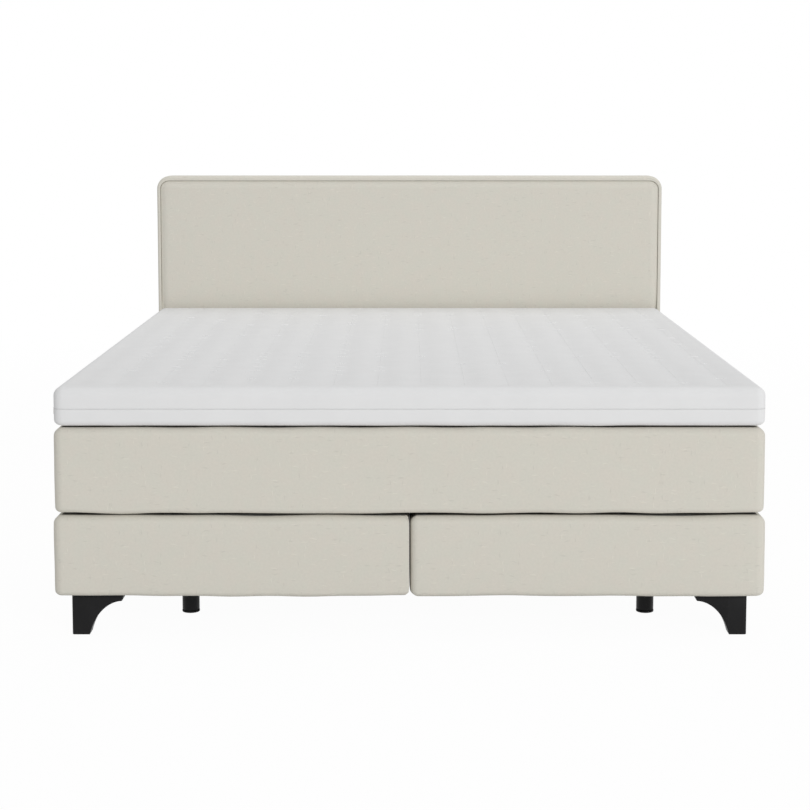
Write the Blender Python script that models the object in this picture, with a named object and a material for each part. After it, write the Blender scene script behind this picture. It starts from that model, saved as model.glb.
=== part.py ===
"""Box spring bed, 1.80 m wide and 2.00 m long, with a headboard, a mattress and a topper.

Two padded boxes stand side by side on corner legs and round support legs. A mattress lies on
both, and a quilted topper with a zip round its side lies on the mattress. Lengths are in metres.
The origin is on the floor under the middle of the bed, the foot end faces -Y and +Z is up.
"""

import math

import bmesh
import bpy

# Clearances
gap = 0.0003
thread_clearance = 0.0006

# Bed
bed_width = 1.80
bed_length = 2.00
underside_height = 0.104
corner_radius = 0.026
least_radius = 0.0015

# Boxes
box_height = 0.213
box_split = 0.0006
box_edge_radius = 0.019
box_belly = 0.003
box_cover_wall = 0.006
box_hem_width = 0.035
dust_cover_thickness = 0.0015
frame_inset = 0.026
plank_thickness = 0.018
plank_width = 0.105
deck_batten_width = 0.045
rail_thickness = 0.020
rail_height = 0.095
box_foam_top = 0.018
box_spring_pitch = 0.095

# Mattress
mattress_height = 0.224
mattress_side_inset = 0.004
mattress_edge_radius = 0.019
mattress_belly = 0.004
mattress_cover_wall = 0.005
mattress_hem_width = 0.040
mattress_pad_thickness = 0.030
mattress_border_width = 0.050
mattress_spring_pitch = 0.078

# Topper
topper_height = 0.100
topper_side_inset = 0.007
topper_edge_radius = 0.017
topper_cover_wall = 0.008
quilt_pitch = 0.1107
quilt_offset = 0.030
quilt_depth = 0.0045
quilt_fade_length = 0.050
zip_height = 0.043
zip_width = 0.005
zip_recess = 0.0015
zip_tape_depth = 0.003
slider_length = 0.012
slider_width = 0.009
slider_thickness = 0.0022
slider_neck_width = 0.003
slider_neck_length = 0.008
slider_side_clearance = 0.0005
slider_place = 0.045

# Corner legs
leg_inset = 0.0405
leg_foot = 0.041
leg_span = 0.131
leg_arc_radius = 0.1138
leg_arc_drop = 0.020
leg_outer_radius = 0.008
stud_radius = 0.004
stud_set_back = 0.002

# Support legs
support_radius = 0.0228
support_edge = 0.002
support_left_x = -0.5835
support_right_x = 0.629
support_end_distance = 0.268
inner_support_x = 0.061
glide_radius = 0.0233
glide_height = 0.006
glide_edge = 0.001
glide_groove = 0.0012
glide_stem_radius = 0.0048
glide_stem_length = 0.032

# Headboard
headboard_height = 1.0065
headboard_depth = 0.090
headboard_top_radius = 0.046
headboard_bottom_radius = 0.012
headboard_gap = 0.001
border_wall = 0.004
border_front_radius = 0.014
border_back_radius = 0.008
border_hem_width = 0.040
border_setback = 0.004
seam_inset = 0.0155
seam_depth = 0.010
panel_thickness = 0.020
panel_edge = 0.011
panel_crown = 0.0035
panel_crown_width = 0.120
headboard_foam = 0.028
back_cloth_thickness = 0.0015

# Headboard brackets
bracket_width = 0.040
bracket_thickness = 0.004
bracket_x = 0.450
bracket_rise = 0.260
bracket_reach = 0.110
bracket_end_distance = 0.030
bolt_radius = 0.004
bolt_head_radius = 0.0075
bolt_head_height = 0.005
bolt_depth = 0.020

# Box coupler
coupler_thickness = 0.003
coupler_width = 0.030

# Facets
corner_steps = 3
edge_steps = 3
pocket_steps = 3
round_sides = 18
hole_sides = 8
leg_arc_steps = 8
channel_steps = 3
border_steps = 2
bolt_sides = 12

# Places worked out from the sizes
total_length = bed_length + headboard_gap + headboard_depth + gap + bracket_thickness
total_length += gap + bolt_head_height
foot_y = -total_length / 2
bed_y = foot_y + bed_length / 2
head_y = foot_y + bed_length
headboard_back_y = head_y + headboard_gap + headboard_depth
box_width = (bed_width - box_split) / 2
box_x = (box_width + box_split) / 2
mattress_z = underside_height + box_height + gap
topper_z = mattress_z + mattress_height + gap
topper_half_x = bed_width / 2 - topper_side_inset
deck_z = underside_height + box_cover_wall + gap
rail_z = deck_z + plank_thickness + gap
core_inset = frame_inset + rail_thickness + gap
leg_top = underside_height + box_cover_wall - dust_cover_thickness - gap
stud_top = deck_z + plank_thickness - stud_set_back
coupler_low = underside_height - gap - coupler_thickness


# Colour, roughness and metallic value of each kind of material
finishes = {
    "upholstery": ((0.610, 0.590, 0.525), 0.9, 0.0),
    "ticking": ((0.82, 0.82, 0.82), 0.85, 0.0),
    "foam": ((0.86, 0.82, 0.66), 0.95, 0.0),
    "edge_foam": ((0.70, 0.74, 0.80), 0.95, 0.0),
    "lining": ((0.045, 0.045, 0.045), 0.95, 0.0),
    "timber": ((0.62, 0.45, 0.27), 0.65, 0.0),
    "leg_plastic": ((0.022, 0.022, 0.023), 0.45, 0.0),
    "glide_plastic": ((0.016, 0.016, 0.016), 0.6, 0.0),
    "steel": ((0.58, 0.58, 0.60), 0.4, 0.9),
    "zinc_steel": ((0.66, 0.66, 0.68), 0.35, 1.0),
    "zip_tape": ((0.74, 0.74, 0.74), 0.7, 0.0),
    "zip_slider": ((0.70, 0.70, 0.70), 0.35, 0.6),
}


def clear_scene():
    for item in list(bpy.data.objects):
        bpy.data.objects.remove(item)


def principled(name, kind):
    """A plain material of its own for one object, in the finish of this kind."""
    colour, roughness, metallic = finishes[kind]
    material = bpy.data.materials.new(name)
    material.use_nodes = True
    shader = material.node_tree.nodes["Principled BSDF"]
    shader.inputs["Base Color"].default_value = (*colour, 1.0)
    shader.inputs["Roughness"].default_value = roughness
    shader.inputs["Metallic"].default_value = metallic
    material.diffuse_color = (*colour, 1.0)
    return material


def make_object(name, shape, kind, centre=(0, 0, 0), smooth=True):
    """Turns a bmesh into a named object at its place, with a material of its own."""
    mesh = bpy.data.meshes.new(name)
    shape.to_mesh(mesh)
    shape.free()
    if smooth:
        mesh.shade_smooth()
        mesh.set_sharp_from_angle(angle=math.radians(35))
    made = bpy.data.objects.new(name, mesh)
    made.location = centre
    made.data.materials.append(principled(name, kind))
    bpy.context.scene.collection.objects.link(made)
    return made


def arc(centre, radius, start, end, steps):
    """Points of an arc, angles in degrees, both ends included."""
    points = []
    for step in range(steps + 1):
        angle = math.radians(start + (end - start) * step / steps)
        points.append((centre[0] + radius * math.cos(angle), centre[1] + radius * math.sin(angle)))
    return points


def rounded_ring(half_x, half_y, radii, inset, z):
    """A rounded rectangle at height z. radii is (low corners, high corners) as seen along its Y."""
    low, high = (max(radius - inset, least_radius) for radius in radii)
    x = half_x - inset
    y = half_y - inset
    ring = []
    for side_x, side_y, radius, start in (
        (1, 1, high, 0),
        (-1, 1, high, 90),
        (-1, -1, low, 180),
        (1, -1, low, 270),
    ):
        centre = (side_x * (x - radius), side_y * (y - radius))
        ring += [(px, py, z) for px, py in arc(centre, radius, start, start + 90, corner_steps)]
    return ring


def loft(rings, closed_profile=False):
    """Joins rings of equal length. The ends are capped unless the profile closes on itself."""
    shape = bmesh.new()
    rows = [[shape.verts.new(point) for point in ring] for ring in rings]
    pairs = list(zip(rows, rows[1:]))
    if closed_profile:
        pairs.append((rows[-1], rows[0]))
    else:
        shape.faces.new(list(reversed(rows[0])))
        shape.faces.new(rows[-1])
    count = len(rows[0])
    for lower, upper in pairs:
        for i in range(count):
            j = (i + 1) % count
            shape.faces.new((lower[i], lower[j], upper[j], upper[i]))
    return shape


def loft_profile(half_x, half_y, radii, profile, closed_profile=False):
    """Lofts a rounded rectangle along (inset, height) pairs."""
    rings = [rounded_ring(half_x, half_y, radii, inset, z) for inset, z in profile]
    return loft(rings, closed_profile)


def lower_edge(radius, belly, offset=0.0):
    """Round lower edge of a padded side, from its underside up, moved inwards by offset."""
    centre = belly + radius
    return arc((centre, radius), radius - offset, 270, 180, edge_steps)


def upper_edge(height, radius, belly, offset=0.0):
    """Round upper edge of a padded side, from the side up, moved inwards by offset."""
    centre = (belly + radius, height - radius)
    return arc(centre, radius - offset, 180, 90, edge_steps)


def belly_points(height, radius, belly):
    """The slight swell between the two round edges of a padded side."""
    low = radius
    span = height - 2 * radius
    swell_shares = ((0.2, 0.36), (0.5, 0.0), (0.8, 0.36))
    return [(belly * inset_share, low + span * z_share) for z_share, inset_share in swell_shares]


def cuboid(size, centre=(0, 0, 0)):
    shape = bmesh.new()
    bmesh.ops.create_cube(shape, size=1.0)
    for vertex in shape.verts:
        for axis in range(3):
            vertex.co[axis] = vertex.co[axis] * size[axis] + centre[axis]
    return shape


def turned(profile, sides):
    """A body turned about Z from (radius, height) pairs, first and last pair capped."""
    rings = []
    for radius, z in profile:
        ring = []
        for side in range(sides):
            angle = 2 * math.pi * side / sides
            ring.append((radius * math.cos(angle), radius * math.sin(angle), z))
        rings.append(ring)
    return loft(rings)


def drill(target, places, radius, depth_range, along_y=False):
    """Cuts round holes through the target at the places, between two heights or depths."""
    cutter = bmesh.new()
    low, high = depth_range
    for first, second in places:
        hole = bmesh.ops.create_cone(
            cutter,
            cap_ends=True,
            segments=hole_sides,
            radius1=radius,
            radius2=radius,
            depth=high - low,
        )
        for vertex in hole["verts"]:
            x, y, z = vertex.co
            middle = (low + high) / 2
            if along_y:
                vertex.co = (x + first, middle - z, y + second)
            else:
                vertex.co = (x + first, y + second, z + middle)
    mesh = bpy.data.meshes.new(target.name + "_drill")
    cutter.to_mesh(mesh)
    cutter.free()
    tool = bpy.data.objects.new(target.name + "_drill", mesh)
    tool.display_type = "WIRE"
    tool.hide_render = True
    bpy.context.scene.collection.objects.link(tool)
    cut = target.modifiers.new("holes", "BOOLEAN")
    cut.operation = "DIFFERENCE"
    cut.solver = "EXACT"
    cut.object = tool


def plate_with_windows(x_lines, y_lines, filled, low, high):
    """A flat plate made of the filled cells of a grid, one closed body."""
    shape = bmesh.new()
    corners = {}

    def corner(i, j, z):
        if (i, j, z) not in corners:
            corners[i, j, z] = shape.verts.new((x_lines[i], y_lines[j], z))
        return corners[i, j, z]

    columns = len(x_lines) - 1
    rows = len(y_lines) - 1

    def solid(i, j):
        return 0 <= i < columns and 0 <= j < rows and filled(i, j)

    for i in range(columns):
        for j in range(rows):
            if not solid(i, j):
                continue
            path = [(i, j), (i + 1, j), (i + 1, j + 1), (i, j + 1)]
            neighbours = [(i, j - 1), (i + 1, j), (i, j + 1), (i - 1, j)]
            shape.faces.new([corner(*point, high) for point in path])
            shape.faces.new([corner(*point, low) for point in reversed(path)])
            for k in range(4):
                if solid(*neighbours[k]):
                    continue
                a, b = path[k], path[(k + 1) % 4]
                shape.faces.new((corner(*a, low), corner(*b, low), corner(*b, high), corner(*a, high)))
    return shape


def pocket_outline(across, along):
    """The outline of a block of pocket springs, in pockets: each border pocket bulges."""
    outline = []
    walk = ((across, along, 270), (across, along, 0), (across, along, 90), (across, along, 180))
    for side, (columns, rows, heading) in enumerate(walk):
        turn = math.radians(heading)
        forward = (round(-math.sin(turn)), round(math.cos(turn)))
        outward = (forward[1], -forward[0])
        pockets = columns if forward[0] else rows
        half_run = pockets / 2
        half_rise = (rows if forward[0] else columns) / 2
        for pocket in range(pockets - 1):
            run = pocket + 0.5 - half_run
            rise = half_rise - 0.5
            x = forward[0] * run + outward[0] * rise
            y = forward[1] * run + outward[1] * rise
            sweep = 180 if pocket else 270
            steps = pocket_steps * sweep // 180
            start = heading - sweep + 90
            outline += arc((x, y), 0.5, start, start + sweep, steps)[:-1]
    return outline


def spring_block(half_x, half_y, pitch, low, high):
    """A core of pocket springs, as one block with its border pockets bulging."""
    across = round(2 * half_x / pitch)
    along = round(2 * half_y / pitch)
    outline = []
    for x, y in pocket_outline(across, along):
        outline.append((2 * half_x * x / across, 2 * half_y * y / along))
    return loft([[(x, y, z) for x, y in outline] for z in (low, high)])


def box_parts(side, sign):
    """One padded box: timber frame and deck, springs, foam and an upholstered cover."""
    name = side + "_box_"
    half_x = box_width / 2
    half_y = bed_length / 2
    centre = (sign * box_x, bed_y, underside_height)
    radii = (corner_radius, corner_radius)

    inner_edge = upper_edge(box_height, box_edge_radius, box_belly, box_cover_wall)
    profile = list(reversed(inner_edge))
    profile += list(reversed(lower_edge(box_edge_radius, box_belly, box_cover_wall)))
    profile += [(box_hem_width, box_cover_wall), (box_hem_width, 0.0)]
    profile += lower_edge(box_edge_radius, box_belly)
    profile += belly_points(box_height, box_edge_radius, box_belly)
    profile += upper_edge(box_height, box_edge_radius, box_belly)
    shape = loft_profile(half_x, half_y, radii, profile)
    make_object(name + "cover", shape, "upholstery", centre)

    wrap_offset = box_cover_wall + gap
    rail_top = rail_z + rail_height - underside_height
    ceiling = box_height - wrap_offset - box_foam_top
    profile = [(core_inset - gap, ceiling), (core_inset - gap, rail_top + gap)]
    profile += [(frame_inset - gap, rail_top + gap), (frame_inset - gap, wrap_offset)]
    profile += lower_edge(box_edge_radius, box_belly, wrap_offset)
    profile += upper_edge(box_height, box_edge_radius, box_belly, wrap_offset)
    shape = loft_profile(half_x, half_y, radii, profile)
    make_object(name + "foam_wrap", shape, "foam", centre)

    low = rail_z - underside_height
    core_x = half_x - core_inset
    core_y = half_y - core_inset
    shape = spring_block(core_x, core_y, box_spring_pitch, low, ceiling - gap)
    make_object(name + "spring_core", shape, "ticking", centre, smooth=False)

    rail_centre_z = rail_z + rail_height / 2
    side_length = bed_length - 2 * (frame_inset + least_radius)
    end_length = box_width - 2 * (frame_inset + rail_thickness + gap)
    rail_x = half_x - frame_inset - rail_thickness / 2
    rail_y = half_y - frame_inset - rail_thickness / 2
    side_size = (rail_thickness, side_length, rail_height)
    end_size = (end_length, rail_thickness, rail_height)
    places = (
        ("outer_rail", side_size, (sign * (box_x + rail_x), bed_y)),
        ("inner_rail", side_size, (sign * (box_x - rail_x), bed_y)),
        ("foot_rail", end_size, (sign * box_x, bed_y - rail_y)),
        ("head_rail", end_size, (sign * box_x, bed_y + rail_y)),
    )
    for rail, size, (x, y) in places:
        make_object(name + rail, cuboid(size), "timber", (x, y, rail_centre_z), smooth=False)

    deck_parts(name, sign)


def leg_places(sign):
    """Where the studs of one box's legs stand: two corner legs and three support legs."""
    stud = leg_inset + leg_foot / 2
    outer_x = sign * (bed_width / 2 - stud)
    support_x = support_right_x if sign > 0 else support_left_x
    return {
        "front_corner": (outer_x, foot_y + stud),
        "rear_corner": (outer_x, head_y - stud),
        "front_support": (support_x, foot_y + support_end_distance),
        "middle_support": (sign * inner_support_x, bed_y),
        "rear_support": (support_x, head_y - support_end_distance),
    }


def deck_parts(name, sign):
    """The planked deck that the springs stand on, and the dust cover under it."""
    bolt_place = (sign * bracket_x, head_y - bracket_end_distance - plank_width / 4)
    places = list(leg_places(sign).values())
    half_x = box_width / 2 - frame_inset
    half_y = bed_length / 2 - frame_inset - least_radius
    first = half_y - plank_width
    second_middle = bed_length / 2 - support_end_distance
    second = (second_middle - plank_width / 2, second_middle + plank_width / 2)
    third_middle = second_middle / 2
    third = (third_middle - plank_width / 2, third_middle + plank_width / 2)
    half_lines = [plank_width / 2, *third, *second, first, half_y]
    y_lines = [-y for y in reversed(half_lines)] + half_lines
    x_lines = [-half_x, -deck_batten_width / 2, deck_batten_width / 2, half_x]

    def is_wood(column, row):
        return column == 1 or row % 2 == 0

    shape = plate_with_windows(x_lines, y_lines, is_wood, 0.0, plank_thickness)
    centre = (sign * box_x, bed_y, deck_z)
    deck = make_object(name + "plank_deck", shape, "timber", centre, smooth=False)
    cut = (deck_z - plank_thickness, deck_z + 2 * plank_thickness)
    hole_radius = stud_radius + thread_clearance
    drill(deck, places + [bolt_place], hole_radius, cut)

    half_x = box_width / 2 - box_hem_width - gap
    half_y = bed_length / 2 - box_hem_width - gap
    radii = (corner_radius - box_hem_width, corner_radius - box_hem_width)
    profile = [(0.0, 0.0), (0.0, dust_cover_thickness)]
    shape = loft_profile(half_x, half_y, radii, profile)
    low = underside_height + box_cover_wall - dust_cover_thickness
    centre = (sign * box_x, bed_y, low)
    dust = make_object(name + "dust_cover", shape, "lining", centre, smooth=False)
    drill(dust, places + [bolt_place], hole_radius, cut)


def corner_leg(name, sign_x, sign_y):
    """A bracket leg of two wings that meet in a foot, each cut away below by a quarter arc."""
    post = leg_foot
    reach = leg_span
    arc_x = leg_foot + math.sqrt(leg_arc_radius**2 - leg_arc_drop**2)
    stations = [0.0, post]
    for step in range(1, leg_arc_steps + 1):
        turn = step / leg_arc_steps
        angle = math.acos((post - arc_x) / leg_arc_radius)
        end = math.acos((reach - arc_x) / leg_arc_radius)
        stations.append(arc_x + leg_arc_radius * math.cos(angle + (end - angle) * turn))

    def underside(run):
        if run <= post:
            return 0.0
        return math.sqrt(leg_arc_radius**2 - (run - arc_x) ** 2) - leg_arc_drop

    shape = bmesh.new()

    def section(run, along_y):
        low = underside(run)
        sides = ((0.0, low), (post, low), (post, leg_top), (0.0, leg_top))
        points = [(side, run, z) if along_y else (run, side, z) for side, z in sides]
        return [shape.verts.new((sign_x * x, sign_y * y, z)) for x, y, z in points]

    front = [section(run, False) for run in stations]
    shared = [front[0][1], front[1][1], front[1][2], front[0][2]]
    side = [shared] + [section(run, True) for run in stations[2:]]
    shape.faces.new(front[0])
    shape.faces.new(front[-1])
    shape.faces.new(side[-1])
    for index, (near, far) in enumerate(zip(front, front[1:])):
        for k in range(4):
            if index == 0 and k == 1:
                continue
            m = (k + 1) % 4
            shape.faces.new((near[k], near[m], far[m], far[k]))
    for near, far in zip(side, side[1:]):
        for k in range(4):
            m = (k + 1) % 4
            shape.faces.new((near[k], near[m], far[m], far[k]))
    bmesh.ops.recalc_face_normals(shape, faces=shape.faces)
    outer = [e for e in shape.edges if all(abs(v.co.x) + abs(v.co.y) < gap for v in e.verts)]
    bmesh.ops.bevel(
        shape,
        geom=outer,
        offset=leg_outer_radius,
        segments=corner_steps,
        profile=0.5,
        affect="EDGES",
    )
    stud_x = sign_x * leg_foot / 2
    stud_y = sign_y * leg_foot / 2
    x = -sign_x * (bed_width / 2 - leg_inset)
    y = foot_y + leg_inset if sign_y > 0 else head_y - leg_inset
    leg = make_object(name, shape, "leg_plastic", (x, y, 0))
    stud = turned([(stud_radius, leg_top - stud_set_back), (stud_radius, stud_top)], hole_sides)
    bmesh.ops.translate(stud, verts=stud.verts, vec=(stud_x, stud_y, 0))
    mesh = bpy.data.meshes.new(name + "_stud")
    stud.to_mesh(mesh)
    stud.free()
    tool = bpy.data.objects.new(name + "_stud", mesh)
    tool.location = leg.location
    tool.display_type = "WIRE"
    tool.hide_render = True
    bpy.context.scene.collection.objects.link(tool)
    join = leg.modifiers.new("stud", "BOOLEAN")
    join.operation = "UNION"
    join.solver = "EXACT"
    join.object = tool


def support_leg(name, x, y, top):
    """A round support leg with a screw-in glide under it."""
    bottom = glide_height + glide_groove
    bore_top = glide_height + glide_stem_length + gap
    bore_radius = glide_stem_radius + gap
    profile = [
        (bore_radius, bore_top),
        (bore_radius, glide_height + gap),
        (support_radius - 2 * support_edge, glide_height + gap),
        (support_radius - 2 * support_edge, bottom),
        (support_radius - support_edge / 2, bottom),
        (support_radius, bottom + support_edge / 2),
        (support_radius, top),
        (stud_radius, top),
        (stud_radius, stud_top),
    ]
    make_object(name + "_leg", turned(profile, round_sides), "leg_plastic", (x, y, 0))
    profile = [
        (glide_radius - glide_edge, 0.0),
        (glide_radius, glide_edge),
        (glide_radius, glide_height - glide_edge),
        (glide_radius - glide_edge, glide_height),
        (glide_stem_radius, glide_height),
        (glide_stem_radius, glide_height + glide_stem_length),
    ]
    make_object(name + "_glide", turned(profile, round_sides), "glide_plastic", (x, y, 0))


def legs():
    for side, sign in (("left", -1), ("right", 1)):
        corner_leg("front_" + side + "_corner_leg", -sign, 1)
        corner_leg("rear_" + side + "_corner_leg", -sign, -1)
        places = leg_places(sign)
        for place in ("front", "middle", "rear"):
            x, y = places[place + "_support"]
            top = coupler_low - gap if place == "middle" else leg_top
            name = place + "_" + side + "_support"
            support_leg(name, x, y, top)


def coupler():
    """A steel plate across the split, clamped to both boxes by the two middle legs."""
    half_x = inner_support_x + coupler_width / 2
    radii = (coupler_width / 2, coupler_width / 2)
    profile = [(0.0, 0.0), (0.0, coupler_thickness)]
    shape = loft_profile(half_x, coupler_width / 2, radii, profile)
    plate = make_object("box_coupler", shape, "steel", (0, bed_y, coupler_low), smooth=False)
    places = [(-inner_support_x, bed_y), (inner_support_x, bed_y)]
    cut = (coupler_low - coupler_thickness, underside_height)
    drill(plate, places, stud_radius + thread_clearance, cut)


def mattress():
    """Spring core in a foam border between two comfort pads, in a sewn cover."""
    half_x = bed_width / 2 - mattress_side_inset
    half_y = bed_length / 2
    centre = (0, bed_y, mattress_z)
    radii = (corner_radius, corner_radius)
    wall = mattress_cover_wall
    shape_values = (mattress_edge_radius, mattress_belly)
    profile = list(reversed(upper_edge(mattress_height, *shape_values, wall)))
    profile += list(reversed(lower_edge(*shape_values, wall)))
    profile += [(mattress_hem_width, wall), (mattress_hem_width, 0.0)]
    profile += lower_edge(*shape_values)
    profile += belly_points(mattress_height, *shape_values)
    profile += upper_edge(mattress_height, *shape_values)
    shape = loft_profile(half_x, half_y, radii, profile)
    make_object("mattress_cover", shape, "upholstery", centre)

    base_radii = (corner_radius - mattress_hem_width, corner_radius - mattress_hem_width)
    base_x = half_x - mattress_hem_width - gap
    base_y = half_y - mattress_hem_width - gap
    shape = loft_profile(base_x, base_y, base_radii, [(0.0, 0.0), (0.0, wall)])
    make_object("mattress_base_panel", shape, "lining", centre, smooth=False)

    offset = wall + gap
    side_inset = mattress_belly + offset
    pad_low_top = offset + mattress_pad_thickness
    pad_high_low = mattress_height - offset - mattress_pad_thickness
    profile = lower_edge(*shape_values, offset) + [(side_inset, pad_low_top)]
    shape = loft_profile(half_x, half_y, radii, profile)
    make_object("mattress_bottom_pad", shape, "foam", centre)
    profile = [(side_inset, pad_high_low)]
    profile += upper_edge(mattress_height, *shape_values, offset)
    shape = loft_profile(half_x, half_y, radii, profile)
    make_object("mattress_top_pad", shape, "foam", centre)

    low = pad_low_top + gap
    high = pad_high_low - gap
    border = side_inset + mattress_border_width
    profile = [(border, low), (side_inset, low), (side_inset, high), (border, high)]
    shape = loft_profile(half_x, half_y, radii, profile, closed_profile=True)
    make_object("mattress_border_foam", shape, "edge_foam", centre, smooth=False)

    core_x = half_x - border - gap
    core_y = half_y - border - gap
    shape = spring_block(core_x, core_y, mattress_spring_pitch, low, high)
    make_object("mattress_spring_core", shape, "ticking", centre, smooth=False)


def quilt_lines():
    """X places of the quilting: each channel's valley and the shoulders between valleys."""
    limit = topper_half_x - corner_radius
    lines = [-limit]
    first = math.ceil((-limit - quilt_offset) / quilt_pitch * channel_steps)
    last = math.floor((limit - quilt_offset) / quilt_pitch * channel_steps)
    for index in range(first, last + 1):
        x = quilt_offset + index * quilt_pitch / channel_steps
        if abs(x) < limit - quilt_pitch / 2 / channel_steps:
            lines.append(x)
    return lines + [limit]


def quilt_drop(x, y):
    """How far the quilted top lies below its crests: the channels fade out towards the edges."""
    limit_x = topper_half_x - corner_radius
    limit_y = bed_length / 2 - corner_radius
    to_edge = min(limit_x - abs(x), limit_y - abs(y))
    fade = min(1.0, max(0.0, to_edge / quilt_fade_length))
    phase = (x - quilt_offset) / quilt_pitch
    valley = 0.5 + 0.5 * math.cos(2 * math.pi * phase)
    return quilt_depth * fade * valley


def topper_upper():
    """The quilted upper half of the topper's cover: one shell, open below."""
    shape = bmesh.new()
    half_x = topper_half_x
    half_y = bed_length / 2
    x_lines = quilt_lines()
    limit = half_y - corner_radius
    near = limit - quilt_fade_length
    y_lines = [-limit, -near, -near / 3, near / 3, near, limit]
    top = topper_height
    grid = [
        [shape.verts.new((x, y, top - quilt_drop(x, y))) for x in x_lines] for y in y_lines
    ]
    for lower, upper in zip(grid, grid[1:]):
        for i in range(len(x_lines) - 1):
            shape.faces.new((lower[i], lower[i + 1], upper[i + 1], upper[i]))
    border = list(grid[0])
    border += [row[-1] for row in grid[1:]]
    border += list(reversed(grid[-1]))[1:]
    border += [row[0] for row in reversed(grid[1:-1])]
    sources = []
    for vertex in border:
        x, y = vertex.co.x, vertex.co.y
        at_x = abs(abs(x) - (half_x - corner_radius)) < gap
        at_y = abs(abs(y) - limit) < gap
        if at_x and at_y:
            start = {(1, -1): 270, (1, 1): 0, (-1, 1): 90, (-1, -1): 180}[
                (1 if x > 0 else -1, 1 if y > 0 else -1)
            ]
            for step in range(corner_steps + 1):
                sources.append((vertex, start + 90 * step / corner_steps))
        elif at_y:
            sources.append((vertex, 90 if y > 0 else 270))
        else:
            sources.append((vertex, 0 if x > 0 else 180))

    def ring(inset, z):
        points = []
        for vertex, angle in sources:
            turn = math.radians(angle)
            reach = corner_radius - inset
            x = vertex.co.x + reach * math.cos(turn)
            y = vertex.co.y + reach * math.sin(turn)
            points.append(shape.verts.new((x, y, z)))
        return points

    edge = topper_edge_radius
    wall = topper_cover_wall
    rim = zip_height + zip_width / 2 + gap
    outer = list(reversed(upper_edge(top, edge, 0.0)))[:-1] + [(0.0, top - edge)]
    rows = [ring(inset, z) for inset, z in outer]
    rows.append(ring(0.0, rim + zip_recess))
    rows.append(ring(zip_recess, rim))
    rows.append(ring(wall, rim))
    rows.append(ring(wall, top - edge))
    rows.append(ring(edge, top - wall))
    count = len(sources)
    first = rows[0]
    for i in range(count):
        j = (i + 1) % count
        a, b = sources[i][0], sources[j][0]
        if a is b:
            shape.faces.new((a, first[i], first[j]))
        else:
            shape.faces.new((a, first[i], first[j], b))
    for upper, lower in zip(rows, rows[1:]):
        for i in range(count):
            j = (i + 1) % count
            shape.faces.new((upper[i], lower[i], lower[j], upper[j]))
    shape.faces.new(list(reversed(rows[-1])))
    bmesh.ops.recalc_face_normals(shape, faces=shape.faces)
    return shape


def topper():
    """A foam core in a two-part cover that a zip joins all round its side."""
    half_x = topper_half_x
    half_y = bed_length / 2
    centre = (0, bed_y, topper_z)
    radii = (corner_radius, corner_radius)
    wall = topper_cover_wall
    make_object("topper_upper_cover", topper_upper(), "ticking", centre)

    edge = topper_edge_radius
    rim = zip_height - zip_width / 2 - gap
    profile = lower_edge(edge, 0.0)
    profile += [(0.0, rim - zip_recess), (zip_recess, rim), (wall, rim)]
    profile += list(reversed(lower_edge(edge, 0.0, wall)))
    shape = loft_profile(half_x, half_y, radii, profile)
    make_object("topper_lower_cover", shape, "ticking", centre)

    offset = wall + gap
    profile = lower_edge(edge, 0.0, offset)
    profile += [(offset, topper_height - edge), (edge, topper_height - offset)]
    shape = loft_profile(half_x, half_y, radii, profile)
    make_object("topper_foam_core", shape, "foam", centre)

    low = zip_height - zip_width / 2
    high = zip_height + zip_width / 2
    outer = zip_recess
    inner = zip_recess + zip_tape_depth
    profile = [(inner, low), (outer, low), (outer, high), (inner, high)]
    shape = loft_profile(half_x, half_y, radii, profile, closed_profile=True)
    make_object("topper_zip_tape", shape, "zip_tape", centre, smooth=False)
    zip_slider()


def zip_slider():
    """The zip's slider: a plate outside the cover and a neck that reaches in to the tape."""
    shape = bmesh.new()
    plate_y = slider_length / 2
    plate_z = slider_width / 2
    neck_y = slider_neck_length / 2
    neck_z = slider_neck_width / 2
    near = -slider_side_clearance
    far = near - slider_thickness
    tape = zip_recess - gap
    outline = [(-1, -1), (1, -1), (1, 1), (-1, 1)]

    def ring(x, reach_y, reach_z):
        return [shape.verts.new((x, sy * reach_y, sz * reach_z)) for sy, sz in outline]

    taper = slider_thickness / 2
    rows = [
        ring(far, plate_y - taper, plate_z - taper),
        ring(near - taper, plate_y, plate_z),
        ring(near, plate_y, plate_z),
        ring(near, neck_y, neck_z),
        ring(tape, neck_y, neck_z),
    ]
    shape.faces.new(rows[0])
    shape.faces.new(rows[-1])
    for a, b in zip(rows, rows[1:]):
        for k in range(4):
            m = (k + 1) % 4
            shape.faces.new((a[k], a[m], b[m], b[k]))
    bmesh.ops.recalc_face_normals(shape, faces=shape.faces)
    place = (-topper_half_x, foot_y + slider_place, topper_z + zip_height)
    make_object("topper_zip_slider", shape, "zip_slider", place, smooth=False)


def stand_up(made):
    """Turns a piece lofted flat into the headboard's plane, its loft direction towards the foot."""
    made.rotation_euler = (math.pi / 2, 0, 0)


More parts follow.
